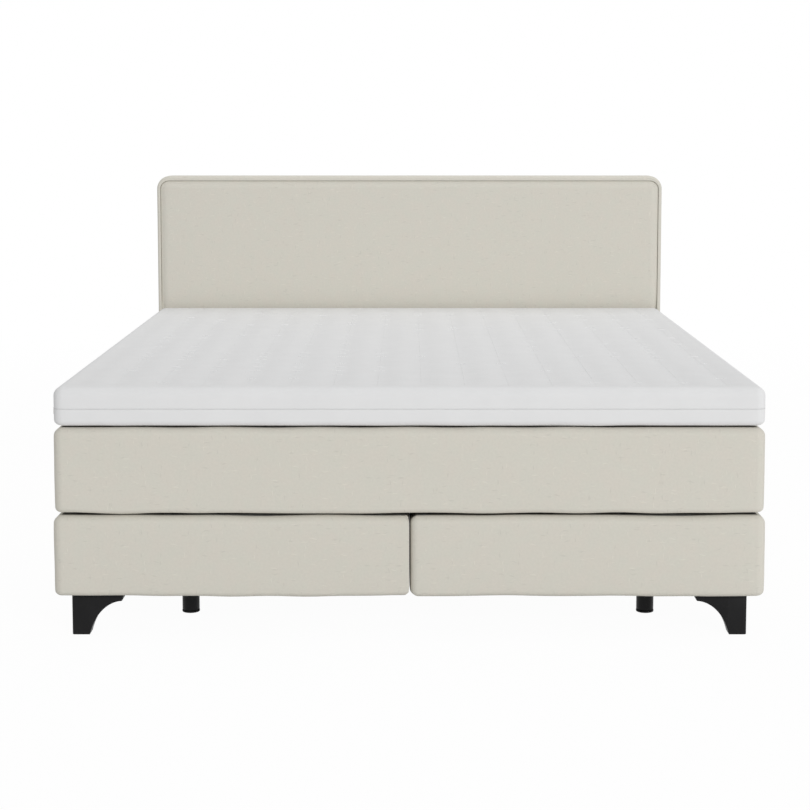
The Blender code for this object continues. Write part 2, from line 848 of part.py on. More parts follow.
def headboard():
    """A board with foam and a padded front panel inside a border band, closed by a back cloth."""
    half_x = bed_width / 2
    half_z = headboard_height / 2
    radii = (headboard_bottom_radius, headboard_top_radius)
    centre = (0, headboard_back_y, underside_height + half_z)
    front = headboard_depth - border_setback
    front_centre = (border_front_radius, front - border_front_radius)
    back_centre = (border_back_radius, border_back_radius)
    seam_low = front - seam_depth
    inner_front = border_front_radius - border_wall
    inner_back = border_back_radius - border_wall
    profile = [(border_hem_width, border_wall), (border_hem_width, 0.0)]
    profile += arc(back_centre, border_back_radius, 270, 180, border_steps)
    profile += arc(front_centre, border_front_radius, 180, 90, edge_steps)
    profile += [(seam_inset, front - gap), (seam_inset, seam_low)]
    profile += [(front_centre[0], seam_low)]
    profile += arc((front_centre[0], seam_low - inner_front), inner_front, 90, 180, border_steps)
    profile += arc(back_centre, inner_back, 180, 270, border_steps)
    shape = loft_profile(half_x, half_z, radii, profile, closed_profile=True)
    stand_up(make_object("headboard_border_band", shape, "upholstery", centre))

    panel_inset = seam_inset + gap
    panel_low = headboard_depth - panel_thickness
    rim = headboard_depth - panel_crown - panel_edge
    profile = [(panel_inset, panel_low), (panel_inset, rim)]
    profile += arc((panel_inset + panel_edge, rim), panel_edge, 180, 90, edge_steps)[1:]
    crown_shares = ((0.35, 0.62), (1.0, 0.93), (1.8, 1.0))
    for run_share, rise_share in crown_shares:
        inset = panel_inset + panel_edge + panel_crown_width * run_share
        profile.append((inset, headboard_depth - panel_crown * (1 - rise_share)))
    shape = loft_profile(half_x, half_z, radii, profile)
    stand_up(make_object("headboard_front_panel", shape, "upholstery", centre))

    foam_high = panel_low - gap
    foam_low = foam_high - headboard_foam
    board_inset = border_wall + gap
    profile = [(panel_inset, foam_low), (panel_inset, foam_high)]
    shape = loft_profile(half_x, half_z, radii, profile)
    stand_up(make_object("headboard_foam", shape, "foam", centre, smooth=False))

    board_high = foam_low - gap
    chamfer = border_back_radius
    profile = [(board_inset + chamfer, board_inset), (board_inset, board_inset + chamfer)]
    profile += [(board_inset, board_high)]
    shape = loft_profile(half_x, half_z, radii, profile)
    board = make_object("headboard_board", shape, "timber", centre, smooth=False)
    stand_up(board)

    cloth_inset = border_hem_width + gap
    profile = [(cloth_inset, border_wall - back_cloth_thickness), (cloth_inset, border_wall)]
    shape = loft_profile(half_x, half_z, radii, profile)
    back = make_object("headboard_back_cloth", shape, "lining", centre, smooth=False)
    stand_up(back)
    return board, back


def brackets(board, back):
    """Two angle brackets that tie the headboard to the boxes, each with two hexagon bolts."""
    low = underside_height - gap - bracket_thickness
    back_face = headboard_back_y + gap
    bolt_y = head_y - bracket_end_distance - plank_width / 4
    bolt_z = low + bracket_rise - bracket_end_distance
    for side, sign in (("left", -1), ("right", 1)):
        x = sign * bracket_x
        outline = [
            (head_y - bracket_reach, low),
            (back_face + bracket_thickness, low),
            (back_face + bracket_thickness, low + bracket_rise),
            (back_face, low + bracket_rise),
            (back_face, low + bracket_thickness),
            (head_y - bracket_reach, low + bracket_thickness),
        ]
        half = bracket_width / 2
        rings = [[(px, y, z) for y, z in outline] for px in (x - half, x + half)]
        bracket = make_object(side + "_headboard_bracket", loft(rings), "steel", smooth=False)
        reach = bolt_radius + thread_clearance
        drill(bracket, [(x, bolt_y)], reach, (low - bracket_thickness, deck_z))
        upright_cut = (back_face - bracket_thickness, back_face + 2 * bracket_thickness)
        drill(bracket, [(x, bolt_z)], reach, upright_cut, along_y=True)
        hexagon = hexagon_bolt()
        make_object(side + "_bracket_box_bolt", hexagon, "zinc_steel", (x, bolt_y, low - gap))
        rear = hexagon_bolt()
        place = (x, back_face + bracket_thickness + gap, bolt_z)
        upper = make_object(side + "_bracket_headboard_bolt", rear, "zinc_steel", place)
        upper.rotation_euler = (math.pi / 2, 0, 0)
    places = [(-bracket_x, bolt_z), (bracket_x, bolt_z)]
    drill_upright(board, places)
    drill_upright(back, places)


def drill_upright(target, places):
    """Blind holes for the headboard's bolts, cut from behind."""
    cut = (headboard_back_y - bolt_depth, headboard_back_y + bracket_thickness)
    drill(target, places, bolt_radius + thread_clearance, cut, along_y=True)


def hexagon_bolt():
    """A bolt along +Z, its head below zero and its shank above."""
    rings = []
    for radius, z in (
        (bolt_head_radius, -bolt_head_height),
        (bolt_head_radius, 0.0),
        (bolt_radius, 0.0),
        (bolt_radius, bolt_depth),
    ):
        ring = []
        for side in range(bolt_sides):
            angle = 2 * math.pi * side / bolt_sides
            flat = radius
            if radius > bolt_radius and side % 2:
                flat = radius * math.cos(math.pi / 6)
            ring.append((flat * math.cos(angle), flat * math.sin(angle), z))
        rings.append(ring)
    return loft(rings)


clear_scene()
box_parts("left", -1)
box_parts("right", 1)
legs()
coupler()
mattress()
topper()
brackets(*headboard())
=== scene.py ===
"""Looks of a box spring bed: sewn covers, quilted topper, zip, headboard, legs and inner parts.

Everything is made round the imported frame, in metres, with the foot end towards -Y. A piece is a
mesh at the origin, and its cloth coordinates are metres measured along the cloth.
"""

import math

import bmesh
import bpy
import numpy as np
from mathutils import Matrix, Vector, noise


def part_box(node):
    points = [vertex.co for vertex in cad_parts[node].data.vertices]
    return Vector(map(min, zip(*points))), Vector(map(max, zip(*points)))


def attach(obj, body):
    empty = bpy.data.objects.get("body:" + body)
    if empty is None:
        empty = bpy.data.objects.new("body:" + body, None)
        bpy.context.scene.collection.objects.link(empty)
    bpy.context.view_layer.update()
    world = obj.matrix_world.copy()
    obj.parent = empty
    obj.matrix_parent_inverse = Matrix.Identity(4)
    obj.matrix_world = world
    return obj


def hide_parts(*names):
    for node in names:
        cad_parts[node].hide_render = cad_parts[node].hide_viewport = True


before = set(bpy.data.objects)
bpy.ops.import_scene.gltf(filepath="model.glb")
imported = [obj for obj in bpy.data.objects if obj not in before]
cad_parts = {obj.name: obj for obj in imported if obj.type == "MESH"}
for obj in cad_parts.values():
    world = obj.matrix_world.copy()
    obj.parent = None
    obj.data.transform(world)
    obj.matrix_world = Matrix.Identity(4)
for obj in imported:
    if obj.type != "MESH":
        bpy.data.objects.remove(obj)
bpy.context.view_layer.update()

# Places read from the frame
box_low, box_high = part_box("left_box_cover")
right_box_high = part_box("right_box_cover")[1]
mattress_low, mattress_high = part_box("mattress_cover")
topper_low, topper_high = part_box("topper_lower_cover")[0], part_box("topper_upper_cover")[1]
band_low, band_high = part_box("headboard_border_band")
panel_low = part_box("headboard_front_panel")[0]
topper_half_width = topper_high.x
headboard_half_width = band_high.x
half_length = (mattress_high.y - mattress_low.y) / 2
middle_y = (mattress_high.y + mattress_low.y) / 2

# Sizes of the covers
clearance = 0.0003
plan_corner = 0.026
left_split_corner = 0.003
right_split_corner = 0.022
least_corner = 0.0015
split_squareness = 0.7
split_opening = 0.0008
split_round = 0.0075
# Painted shade in the split between the boxes: how far it reaches from the split and how far it stays
# back from the ends
split_shade_width = 0.0025
split_shade_setback = 0.012
upper_edge = 0.0225
lower_edge = 0.014
edge_drop = 0.0032
edge_lift = 0.0031
side_inset = 0.0015
# Painted shade in the creases: a dark band on the tops of the boxes and the mattress, inset from their
# borders
crease_shade_inset = 0.022
crease_shade_drop = 0.002
crease_shade_reach = 0.0095
crease_shade_fade = 0.0005
# Fade at the edges of the painted shade
shade_mask_fade = 0.0006
# Painted shade in the split: its fade at the ends and its fade above the top of the box
split_shade_fade = 0.001
split_shade_rise = 0.0002
crown_gap = 0.0008
block_grid = 0.030
block_slack = 0.0013
belly = 0.0015
box_wall = 0.006
box_hem = 0.035
mattress_wall = 0.005
mattress_hem = 0.040
seam_dip = 0.0005
seam_half_width = 0.0022
pressed = 0.00022
corner_steps = 10
edge_steps = 10

# Topper and its quilting
topper_flat_x = topper_half_width - plan_corner
topper_flat_y = half_length - plan_corner
topper_upper_edge = 0.023
topper_lower_edge = 0.016
topper_wall = 0.008
topper_grid = 0.0062
channel_pitch = 0.1107
channel_offset = 0.030
channel_depth = 0.0032
channel_fade = 0.050
pucker_depth = 0.0008
pucker_length = 0.017
stitch_pitch = 0.0075
stitch_size = (0.00034, 0.00034, 0.0026)
stitch_rise = 0.0002
tack_pitch = 0.0745
tack_reach = 0.011
tack_height = 0.0014
tack_rarity = 0.12
tack_stitch = 0.0045
tack_size = (0.0008, 0.0008, 0.0030)
tack_rise = 0.0005

# Zip
zip_height = 0.045
zip_width = 0.0012
zip_recess = 0.0002
lip_gap = 0.0001
tape_depth = 0.003
slider_gap = 0.0005
tooth_pitch = 0.0016
tooth_size = (0.0010, 0.0012, 0.0012)

# Headboard
headboard_corner = 0.046
headboard_foot_corner = 0.012
border_front_radius = 0.009
border_back_radius = 0.008
border_wall = 0.004
border_hem = 0.040
border_setback = 0.004
seam_inset = 0.0155
seam_depth = 0.010
panel_thickness = 0.020
panel_gap = 0.0006
topper_press = 0.020
panel_edge = 0.006
panel_crown = 0.0065
panel_crown_width = 0.022
panel_hollow = 0.007
panel_hollow_reach = 0.050
side_narrowing = 0.26
top_widening = 0.04

# Legs
leg_foot = 0.0446
leg_arc_centre = (0.130, -0.040)
leg_arc_reach = (0.090, 0.127)
leg_arc_angles = (18.36, 88.0)
leg_tip = ((0.1290, 0.0895), (0.1305, 0.0945))
leg_outer_radius = 0.007
stud_inset = 0.0205
leg_set_in = 0.0042
leg_bevel = 0.0009
stud_radius = 0.004
post_edge = 0.0006
glide_stem = 0.0048
glide_height = 0.006
glide_round = 0.0016
glide_edge = 0.0012
thread_start = 0.003
thread_pitch = 0.0015
thread_depth = 0.0004
thread_flank = 0.0006
turned_sides = 48

# Fixings, thin cloths and fillings
staple_pitch = 0.062
staple_size = (0.0007, 0.0007, 0.011)
staple_edge = 0.007
staple_rise = 0.0001
staple_corner = 0.01
plate_thickness = 0.004
bend_radius = 0.004
bracket_bevel = 0.0007
bolt_clearance = 0.0006
bolt_radius = 0.004
bolt_head = 0.0075
bolt_head_height = 0.005
bolt_chamfer = 0.0008
washer_radius = 0.0092
washer_thickness = 0.0012
cloth_grid = 0.05
cloth_hole = 0.005
cloth_punch = 0.01
bracket_punch = 0.02
foam_cap = 0.16
pocket_waist = 0.07
spring_gap = 0.0004

# Camera, fitted to the corners of the bed in an 810 pixel square view
camera_place = (0.0001, -5.5699, 1.2979)
camera_dip = 5.513
camera_lens = 81.279
camera_shift = (-0.00550, -0.13)

# Colours, in linear values
upholstery_colour = (0.671, 0.648, 0.578)
# Painted shade: the dark colour put into the creases and into the split between the boxes
painted_shade_colour = (0.110, 0.094, 0.066)
ticking_colour = (0.794, 0.796, 0.799)
leg_colour = (0.0085, 0.0085, 0.0090)


def adds_math(operation):
    """An operator of Python that adds one Math node."""
    return lambda number, other: number.math(operation, other)


class Wire:
    """A number in a tree of nodes. Python's operators on it add the Math nodes that work it out."""

    def __init__(self, net, socket):
        self.net = net
        self.socket = socket

    def math(self, operation, *others):
        values = dict(enumerate((self, *others)))
        return self.net.add("ShaderNodeMath", values, operation=operation)

    def ripple(self):
        """The sine of the number, brought to 0..1."""
        return self.math("SINE") * 0.5 + 0.5

    def __rsub__(self, other):
        return self.math("MULTIPLY_ADD", -1.0, other)

    __add__ = __radd__ = adds_math("ADD")
    __mul__ = __rmul__ = adds_math("MULTIPLY")
    __sub__ = adds_math("SUBTRACT")
    __truediv__ = adds_math("DIVIDE")
    __pow__ = adds_math("POWER")


class Net:
    """A tree of nodes."""

    def __init__(self, tree):
        self.tree = tree

    def join(self, value, socket):
        if isinstance(value, Wire):
            self.tree.links.new(value.socket, socket)
        else:
            socket.default_value = value

    def add(self, kind, values=None, output=0, **settings):
        """Adds a node, with its settings first and then the values or links of its sockets."""
        node = self.tree.nodes.new(kind)
        for name, value in settings.items():
            setattr(node, name, value)
        for key, value in (values or {}).items():
            self.join(value, node.inputs[key])
        return Wire(self, node.outputs[output])

    def apart(self, vector):
        """The three numbers of a vector."""
        node = self.add("ShaderNodeSeparateXYZ", {0: vector}).socket.node
        return [Wire(self, output) for output in node.outputs]

    def seen_directly(self):
        """1 for rays of the camera, of gloss and of glass, and 0 for rays that carry light."""
        path = self.tree.nodes.new("ShaderNodeLightPath")
        rays = ("Is Camera Ray", "Is Glossy Ray", "Is Transmission Ray")
        camera, gloss, glass = (Wire(self, path.outputs[name]) for name in rays)
        return camera.math("MAXIMUM", gloss).math("MAXIMUM", glass)


class Finish(Net):
    """One material: a Principled shader and the nodes that feed it."""

    def __init__(self, name, colour, roughness, **fixed):
        self.material = bpy.data.materials.new(name)
        self.material.use_nodes = True
        super().__init__(self.material.node_tree)
        self.base = colour
        self.shader = self.tree.nodes["Principled BSDF"]
        self.material.diffuse_color = (*colour, 1.0)
        fixed |= {"base_color": (*colour, 1.0), "roughness": roughness}
        for socket, value in fixed.items():
            self.shader.inputs[socket.replace("_", " ").title()].default_value = value

    def place(self):
        """The point's place in the object, in metres."""
        return self.add("ShaderNodeTexCoord", output="Object")

    def cloth(self):
        """The point's place along the cloth, in metres."""
        return self.add("ShaderNodeUVMap", uv_map="cloth")

    def stretch(self, vector, scale):
        return self.add("ShaderNodeMapping", {"Vector": vector, "Scale": scale})

    def grain(self, vector, scale, detail=2.0, rough=0.5):
        values = {"Vector": vector, "Scale": scale, "Detail": detail, "Roughness": rough}
        return self.add("ShaderNodeTexNoise", values, output="Fac")

    def cells(self, vector, scale, output="Distance"):
        return self.add("ShaderNodeTexVoronoi", {"Vector": vector, "Scale": scale}, output=output)

    def remap(self, value, low, high, to_low=0.0, to_high=1.0):
        """Carries low..high to to_low..to_high, held at the ends."""
        values = {"Value": value, "From Min": low, "From Max": high}
        values |= {"To Min": to_low, "To Max": to_high}
        return self.add("ShaderNodeMapRange", values, clamp=True)

    def blend(self, factor, first, second, **settings):
        """Mixes two colours, each a colour or a link."""
        ends = [end if isinstance(end, Wire) else (*end, 1.0) for end in (first, second)]
        values = {0: factor, 6: ends[0], 7: ends[1]}
        return self.add("ShaderNodeMix", values, output=2, data_type="RGBA", **settings)

    def shades(self, factor, dark, pale):
        """Mixes two shades of the finish's own colour."""
        return self.blend(factor, shade(self.base, dark), shade(self.base, pale))

    def below(self, value, edge, fade):
        """1 up to an edge, and 0 from the width of the fade beyond it."""
        return self.remap(value, edge, edge + fade, 1.0, 0.0)

    def colour(self, value):
        self.join(value, self.shader.inputs["Base Color"])

    def roughness(self, value):
        self.join(value, self.shader.inputs["Roughness"])

    def bump(self, height, distance, strength=1.0):
        """Adds a bump whose height of 1 stands for distance metres, over any bump so far."""
        values = {"Height": height, "Distance": distance, "Strength": strength}
        links = self.shader.inputs["Normal"].links
        if links:
            values["Normal"] = Wire(self, links[0].from_socket)
        self.join(self.add("ShaderNodeBump", values), self.shader.inputs["Normal"])


class Pattern(Net):
    """A tree of geometry nodes with named inputs, which repeats one small shape over a guide."""

    kinds = {float: "NodeSocketFloat", tuple: "NodeSocketVector"}

    def __init__(self, name, **values):
        tree = bpy.data.node_groups.new(name, "GeometryNodeTree")
        super().__init__(tree)
        sockets = {"Geometry": "NodeSocketGeometry", "material": "NodeSocketMaterial"}
        sockets |= {label: self.kinds[type(value)] for label, value in values.items()}
        for label, kind in sockets.items():
            tree.interface.new_socket(label, in_out="INPUT", socket_type=kind)
        tree.interface.new_socket("Geometry", in_out="OUTPUT", socket_type="NodeSocketGeometry")
        self.values = values
        self.given = tree.nodes.new("NodeGroupInput")

    def value(self, label):
        return Wire(self, self.given.outputs[label])

    def close(self, points, shape, rotation):
        """Puts the shape at every point and ends the tree."""
        values = {"Points": points, "Instance": shape, "Rotation": rotation}
        copies = self.add("GeometryNodeInstanceOnPoints", values)
        real = self.add("GeometryNodeRealizeInstances", {0: copies})
        values = {"Geometry": real, "Material": self.value("material")}
        finished = self.add("GeometryNodeSetMaterial", values)
        end = self.tree.nodes.new("NodeGroupOutput")
        self.join(finished, end.inputs[0])

    def grow(self, name, guide, material, **changed):
        """Runs the tree on a guide mesh and keeps its result as a plain mesh."""
        carrier = placed(name, guide)
        modifier = carrier.modifiers.new("pattern", "NODES")
        modifier.node_group = self.tree
        values = self.values | changed | {"material": material}
        for item in self.tree.interface.items_tree:
            if item.in_out == "INPUT" and item.name in values:
                modifier[item.identifier] = values[item.name]
        make_plain(carrier)
        return carrier


def placed(name, data):
    """A new object in the scene."""
    made = bpy.data.objects.new(name, data)
    bpy.context.scene.collection.objects.link(made)
    return made


def shade(colour, factor):
    return tuple(channel * factor for channel in colour)


def upholstery():
    """Calm flat weave with slub yarns both ways, and painted shade: dark colour in the creases where a
    layer or a box rests, and in the split between the boxes.
    """
    made = Finish("ecru_flat_weave", upholstery_colour, 0.92, sheen_weight=0.10)
    cloth = made.cloth()
    across, along, _ = made.apart(cloth)
    yarn = 2 * math.pi / 0.0013
    over = ((across * (yarn / 2)).math("SINE") * (along * (yarn / 2)).math("SINE")) * 0.5 + 0.5
    weave = (across * yarn).ripple() * over + (along * yarn).ripple() * (1 - over)
    heather, cloud = made.grain(cloth, 150.0), made.grain(made.place(), 26.0)
    ground = made.shades(made.remap(heather, 0.36, 0.66), 0.985, 1.012)
    bent = made.grain(cloth, 55.0, 1.0) - 0.5
    bent = made.add("ShaderNodeCombineXYZ", {0: bent * 0.007, 1: bent * 0.011})
    bent = made.add("ShaderNodeVectorMath", {0: cloth, 1: bent}, operation="ADD")
    weft_pale, weft_dark = slubs(made, made.stretch(bent, (40.0, 190.0, 1.0)), 0.910)
    warp_pale, warp_dark = slubs(made, made.stretch(bent, (210.0, 52.0, 1.0)), 0.958)
    pale, dark = weft_pale + warp_pale, weft_dark + warp_dark
    flecked = made.blend(pale * 0.85, ground, shade(upholstery_colour, 1.075))
    flecked = made.blend(dark * 0.85, flecked, shade(upholstery_colour, 0.905))
    tint = made.blend(made.remap(cloud, 0.36, 0.64), (1.010, 0.998, 0.996), (0.995, 1.002, 0.998))
    colour = made.blend(1.0, flecked, tint, blend_type="MULTIPLY")
    x, y, z = made.apart(made.place())
    aside, lengthwise = x.math("ABSOLUTE"), (y - middle_y).math("ABSOLUTE")
    # Painted shade in the creases: a dark band on the tops of the boxes and the mattress, under the layer
    # that rests on them
    panel = crease_shade_mask(made, aside, right_box_high.x, z - box_high.z)
    panel += crease_shade_mask(made, aside, mattress_high.x, z - mattress_high.z)
    panel *= made.below(lengthwise, half_length - crease_shade_inset, shade_mask_fade)
    colour = made.blend(panel, colour, painted_shade_colour)
    # Painted shade in the split between the boxes: their facing sides turn dark a little behind the ends
    # and below the top
    black_lining_and_split_shade = made.below(lengthwise, half_length - split_shade_setback, split_shade_fade)
    black_lining_and_split_shade *= made.below(aside, split_shade_width, shade_mask_fade) * made.below(z, box_high.z, split_shade_rise)
    made.colour(made.blend(black_lining_and_split_shade, colour, painted_shade_colour))
    made.roughness(made.remap(weave, 0.0, 1.0, 0.97, 0.86))
    made.bump(weave, 0.00006, 0.5)
    made.bump(pale + dark * 0.5, 0.00025, 0.7)
    return made.material


def crease_shade_mask(made, aside, half, above):
    """1 where painted crease shade goes on a top: inside the side borders and near the level of the top.
    """
    inside = made.below(aside, half - crease_shade_inset, shade_mask_fade)
    return inside * made.below((above + crease_shade_drop).math("ABSOLUTE"), crease_shade_reach, crease_shade_fade)


def slubs(made, cloth, rare):
    """Scattered thick places of a yarn, as two masks: the pale ones and the dark ones."""
    near = made.below(made.cells(cloth, 1.0), 0.14, 0.26)
    chances = made.apart(made.cells(cloth, 1.0, "Color"))
    return [near * made.remap(chance, rare, rare + 0.001) for chance in chances[:2]]


def ticking():
    """White stretch knit of the topper: fine ribs of loops, slightly uneven in tone."""
    made = Finish("white_knit", ticking_colour, 0.88, sheen_weight=0.08)
    cloth = made.cloth()
    across, along, _ = made.apart(cloth)
    turn = 2 * math.pi
    rib = (across * (turn / 0.0016)).math("SINE").math("ABSOLUTE")
    loop = (along * (turn / 0.0013) + across * (turn / 0.0016)).ripple()
    knit = rib * 0.6 + loop * 0.4
    tone = made.grain(made.place(), 14.0) * 0.6 + made.grain(cloth, 900.0) * 0.4
    made.colour(made.shades(made.remap(tone, 0.38, 0.62), 0.988, 1.010))
    made.roughness(made.remap(knit, 0.0, 1.0, 0.94, 0.82))
    made.bump(knit, 0.00010, 0.5)
    return made.material


def foam(name, colour):
    """Cut polyurethane foam: open cells, a little uneven in tone."""
    made = Finish(name, colour, 0.95)
    place = made.place()
    cell = made.cells(place, 620.0)
    tone = cell * 0.5 + made.grain(place, 18.0, 3.0) * 0.6
    made.colour(made.shades(made.remap(tone, 0.25, 0.75), 0.90, 1.05))
    made.bump(cell, 0.0006, 0.7)
    return made.material


def nonwoven(name, colour, pitch=0.0032):
    """Spunbond cloth with its grid of pressed points."""
    made = Finish(name, colour, 0.93)
    x, y, z = made.apart(made.place())
    turn = 2 * math.pi / pitch
    slant = (x * turn + z * turn).math("SINE") * (y * turn - z * turn).math("SINE")
    point = made.remap(slant, 0.45, 0.85)
    fibre = made.grain(made.place(), 260.0, 4.0, 0.7)
    cloth = made.shades(made.remap(fibre, 0.35, 0.65), 0.86, 1.08)
    made.colour(made.blend(point * 0.6, cloth, shade(colour, 0.74)))
    made.roughness(made.remap(point, 0.0, 1.0, 0.95, 0.7))
    made.bump(1 - point, 0.0002, 0.7)
    return made.material


def timber(name, colour, along):
    """Planed spruce with its grain along one axis, 0 for X, 1 for Y."""
    made = Finish(name, colour, 0.62)
    place = made.place()

    def drawn_out(across, lengthwise, detail, rough):
        scale = [across] * 3
        scale[along] = lengthwise
        return made.grain(made.stretch(place, scale), 1.0, detail, rough)

    fine = drawn_out(420.0, 9.0, 3.0, 0.6)
    band = (drawn_out(34.0, 1.6, 4.0, 0.55) * 46.0).ripple() ** 1.6
    knot = made.remap(made.cells(place, 5.5), 0.05, 0.012)
    grain = made.blend(band * 0.75, shade(colour, 1.12), (0.42, 0.25, 0.115))
    grain = made.blend(made.remap(fine, 0.42, 0.70) * 0.35, grain, shade(colour, 0.62))
    made.colour(made.blend(knot * 0.8, grain, (0.16, 0.075, 0.030)))
    made.roughness(made.remap(fine, 0.3, 0.7, 0.55, 0.75))
    made.bump(fine * 0.7 + band * 0.3, 0.0003, 0.5)
    return made.material


def moulded(name, colour, roughness):
    """Moulded plastic with a fine spark-eroded grain."""
    made = Finish(name, colour, roughness)
    made.shader.inputs["Specular IOR Level"].default_value = 0.16
    fine, wide = (made.grain(made.place(), scale) for scale in (1400.0, 22.0))
    made.colour(made.shades(made.remap(wide * 0.5 + fine * 0.5, 0.40, 0.60), 0.88, 1.16))
    made.roughness(made.remap(wide, 0.35, 0.65, roughness - 0.05, roughness + 0.07))
    made.bump(fine, 0.00004, 0.5)
    return made.material


def metal(name, colour, roughness):
    """Zinc plated steel: fine brushing under a faint spangle."""
    made = Finish(name, colour, roughness, metallic=1.0)
    place = made.place()
    spangle = made.blend(0.5, made.cells(place, 90.0, "Color"), (0.5, 0.5, 0.5))
    brush = made.grain(made.stretch(place, (900.0, 900.0, 60.0)), 1.0)
    cloud = made.grain(place, 30.0, 3.0)
    tone = made.add("ShaderNodeRGBToBW", {0: spangle}) * 0.5 + cloud * 0.5
    made.colour(made.shades(made.remap(tone, 0.40, 0.62), 0.90, 1.06))
    rough = brush * 0.5 + cloud * 0.5
    made.roughness(made.remap(rough, 0.3, 0.7, roughness - 0.08, roughness + 0.12))
    made.bump(brush, 0.00005, 0.4)
    return made.material


def ribbon(name, colour):
    """Woven zip tape with its fine herringbone."""
    made = Finish(name, colour, 0.8)
    across, along, _ = made.apart(made.cloth())
    turn = 2 * math.pi / 0.0009
    rib = (across * turn + (along * turn).math("ABSOLUTE")).ripple()
    made.colour(made.shades(rib * 0.5 + made.grain(made.place(), 300.0) * 0.5, 0.93, 1.04))
    made.bump(rib, 0.0001, 0.6)
    return made.material


def thread(name, colour):
    """Twisted polyester yarn and moulded nylon teeth."""
    made = Finish(name, colour, 0.55)
    place = made.place()
    twist = made.grain(place, 2600.0, 1.0)
    tone = made.grain(place, 120.0) * 0.6 + twist * 0.4
    made.colour(made.shades(made.remap(tone, 0.35, 0.65), 0.94, 1.03))
    made.bump(twist, 0.00008, 0.5)
    return made.material


class Sewing:
    """Gathers the points, faces and cloth coordinates of one piece."""

    def __init__(self):
        self.points = []
        self.faces = []
        self.cloth = []

    def row(self, points):
        start = len(self.points)
        self.points += [tuple(point) for point in points]
        return list(range(start, start + len(points)))

    def face(self, corners, cloth=None):
        self.faces.append(tuple(corners))
        self.cloth += cloth or [(0.0, 0.0)] * len(corners)

    def band(self, first, second, along, across):
        """Quads between two rings of points that run the same way round."""
        count = len(first)
        for i in range(count):
            j = (i + 1) % count
            corners = (first[i], first[j], second[j], second[i])
            near, far = along[i], along[i + 1]
            cloth = [(near, across[0]), (far, across[0]), (far, across[1]), (near, across[1])]
            self.face(corners, cloth)

    def tube(self, rings):
        """A closed body from rings of equally many points, with its two ends capped."""
        rows = [self.row(ring) for ring in rings]
        along = [i / len(rows[0]) for i in range(len(rows[0]) + 1)]
        for near, far in zip(rows, rows[1:]):
            self.band(near, far, along, (0.0, 1.0))
        self.face(rows[0])
        self.face(rows[-1])

    def turn(self, profile, centre, sides=turned_sides):
        """A closed body turned about a vertical axis from (radius, height) pairs."""
        self.tube([
            [(centre[0] + radius * math.cos(a), centre[1] + radius * math.sin(a), z)
             for a in turns(sides)]
            for radius, z in profile
        ])

    def fit(self, name, material, body, slot, *nodes, fill=None, **making):
        """Makes the piece, fixes it to its body and hides the nodes that it stands for; its slot is not
        used.
        """
        return finish_piece(self.piece(name, material, **making), body, slot, *nodes, fill=fill)

    def piece(self, name, material, sharp=35, bevel=None, holes=None):
        """Makes the piece at the origin, faces out and shaded smooth below a sharp angle."""
        mesh = bpy.data.meshes.new(name)
        mesh.from_pydata(self.points, [], self.faces)
        layer = mesh.uv_layers.new(name="cloth")
        layer.data.foreach_set("uv", np.array(self.cloth, np.float32).ravel())
        fixed = bmesh.new()
        fixed.from_mesh(mesh)
        bmesh.ops.remove_doubles(fixed, verts=fixed.verts, dist=0.000001)
        bmesh.ops.recalc_face_normals(fixed, faces=fixed.faces)
        fixed.to_mesh(mesh)
        fixed.free()
        mesh.materials.append(material)
        made = placed(name, mesh)
        if bevel:
            rounding = made.modifiers.new("rounding", "BEVEL")
            rounding.width = bevel
            rounding.segments = 2
            rounding.limit_method = "ANGLE"
        if holes:
            punch(made, holes)
        if made.modifiers:
            make_plain(made)
        made.data.shade_smooth()
        made.data.set_sharp_from_angle(angle=math.radians(sharp))
        return made


def make_plain(made):
    """Applies a piece's modifiers to its mesh."""
    graph = bpy.context.evaluated_depsgraph_get()
    plain = bpy.data.meshes.new_from_object(made.evaluated_get(graph))
    made.modifiers.clear()
    made.data = plain


def punch(made, holes):
    """Cuts round holes, given as (place, axis, radius, depth)."""
    tools = Sewing()
    for place, axis, radius, depth in holes:
        circle = [(radius * math.cos(turn), radius * math.sin(turn)) for turn in turns(20)]
        tools.tube([standing(place, circle, end, axis == 2) for end in (-depth, depth)])
    tool = tools.piece(made.name + "_punch", None)
    cut = made.modifiers.new("holes", "BOOLEAN")
    cut.operation = "DIFFERENCE"
    cut.solver = "EXACT"
    cut.object = tool
    make_plain(made)
    bpy.data.objects.remove(tool)


def finish_piece(made, body, slot, *nodes, fill=None):
    """Fixes a piece to its body and hides the nodes that it stands for; its slot is not used."""
    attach(made, body)
    if nodes:
        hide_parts(*nodes)
    return made


def turns(count):
    """Angles that share a full turn."""
    return [2 * math.pi * i / count for i in range(count)]


def standing(centre, outline, along, upright_axis):
    """A ring of points at a place along a vertical axis, or along one that runs in Y."""
    steps = [(x, y, along) if upright_axis else (x, along, y) for x, y in outline]
    return [tuple(a + b for a, b in zip(centre, step)) for step in steps]


def arc(centre, radius, start, end, steps):
    """Points of an arc, angles in degrees, both ends included."""
    angles = [math.radians(start + (end - start) * step / steps) for step in range(steps + 1)]
    return [(centre[0] + radius * math.cos(a), centre[1] + radius * math.sin(a)) for a in angles]


def quarter(inset, height, radius, start, end, steps=edge_steps):
    """A quarter of a padded edge as (inset, height) pairs, its angles measured on the outside."""
    return [(inset + radius - x, height + y) for x, y in arc((0.0, 0.0), radius, start, end, steps)]


def spread(low, high, spacing):
    """Evenly spaced places from low to high, about spacing apart."""
    count = max(1, round(abs((high - low) / spacing)))
    return [low + (high - low) * i / count for i in range(count + 1)]


def wave(seed, place, length):
    """A smooth value from -1 to 1 that changes over about length metres."""
    return noise.noise(Vector((place[0] / length, place[1] / length, seed)))


def hump(share):
    """0 at both ends of a span and 1 in its middle."""
    return math.sin(math.pi * min(max(share, 0.0), 1.0))


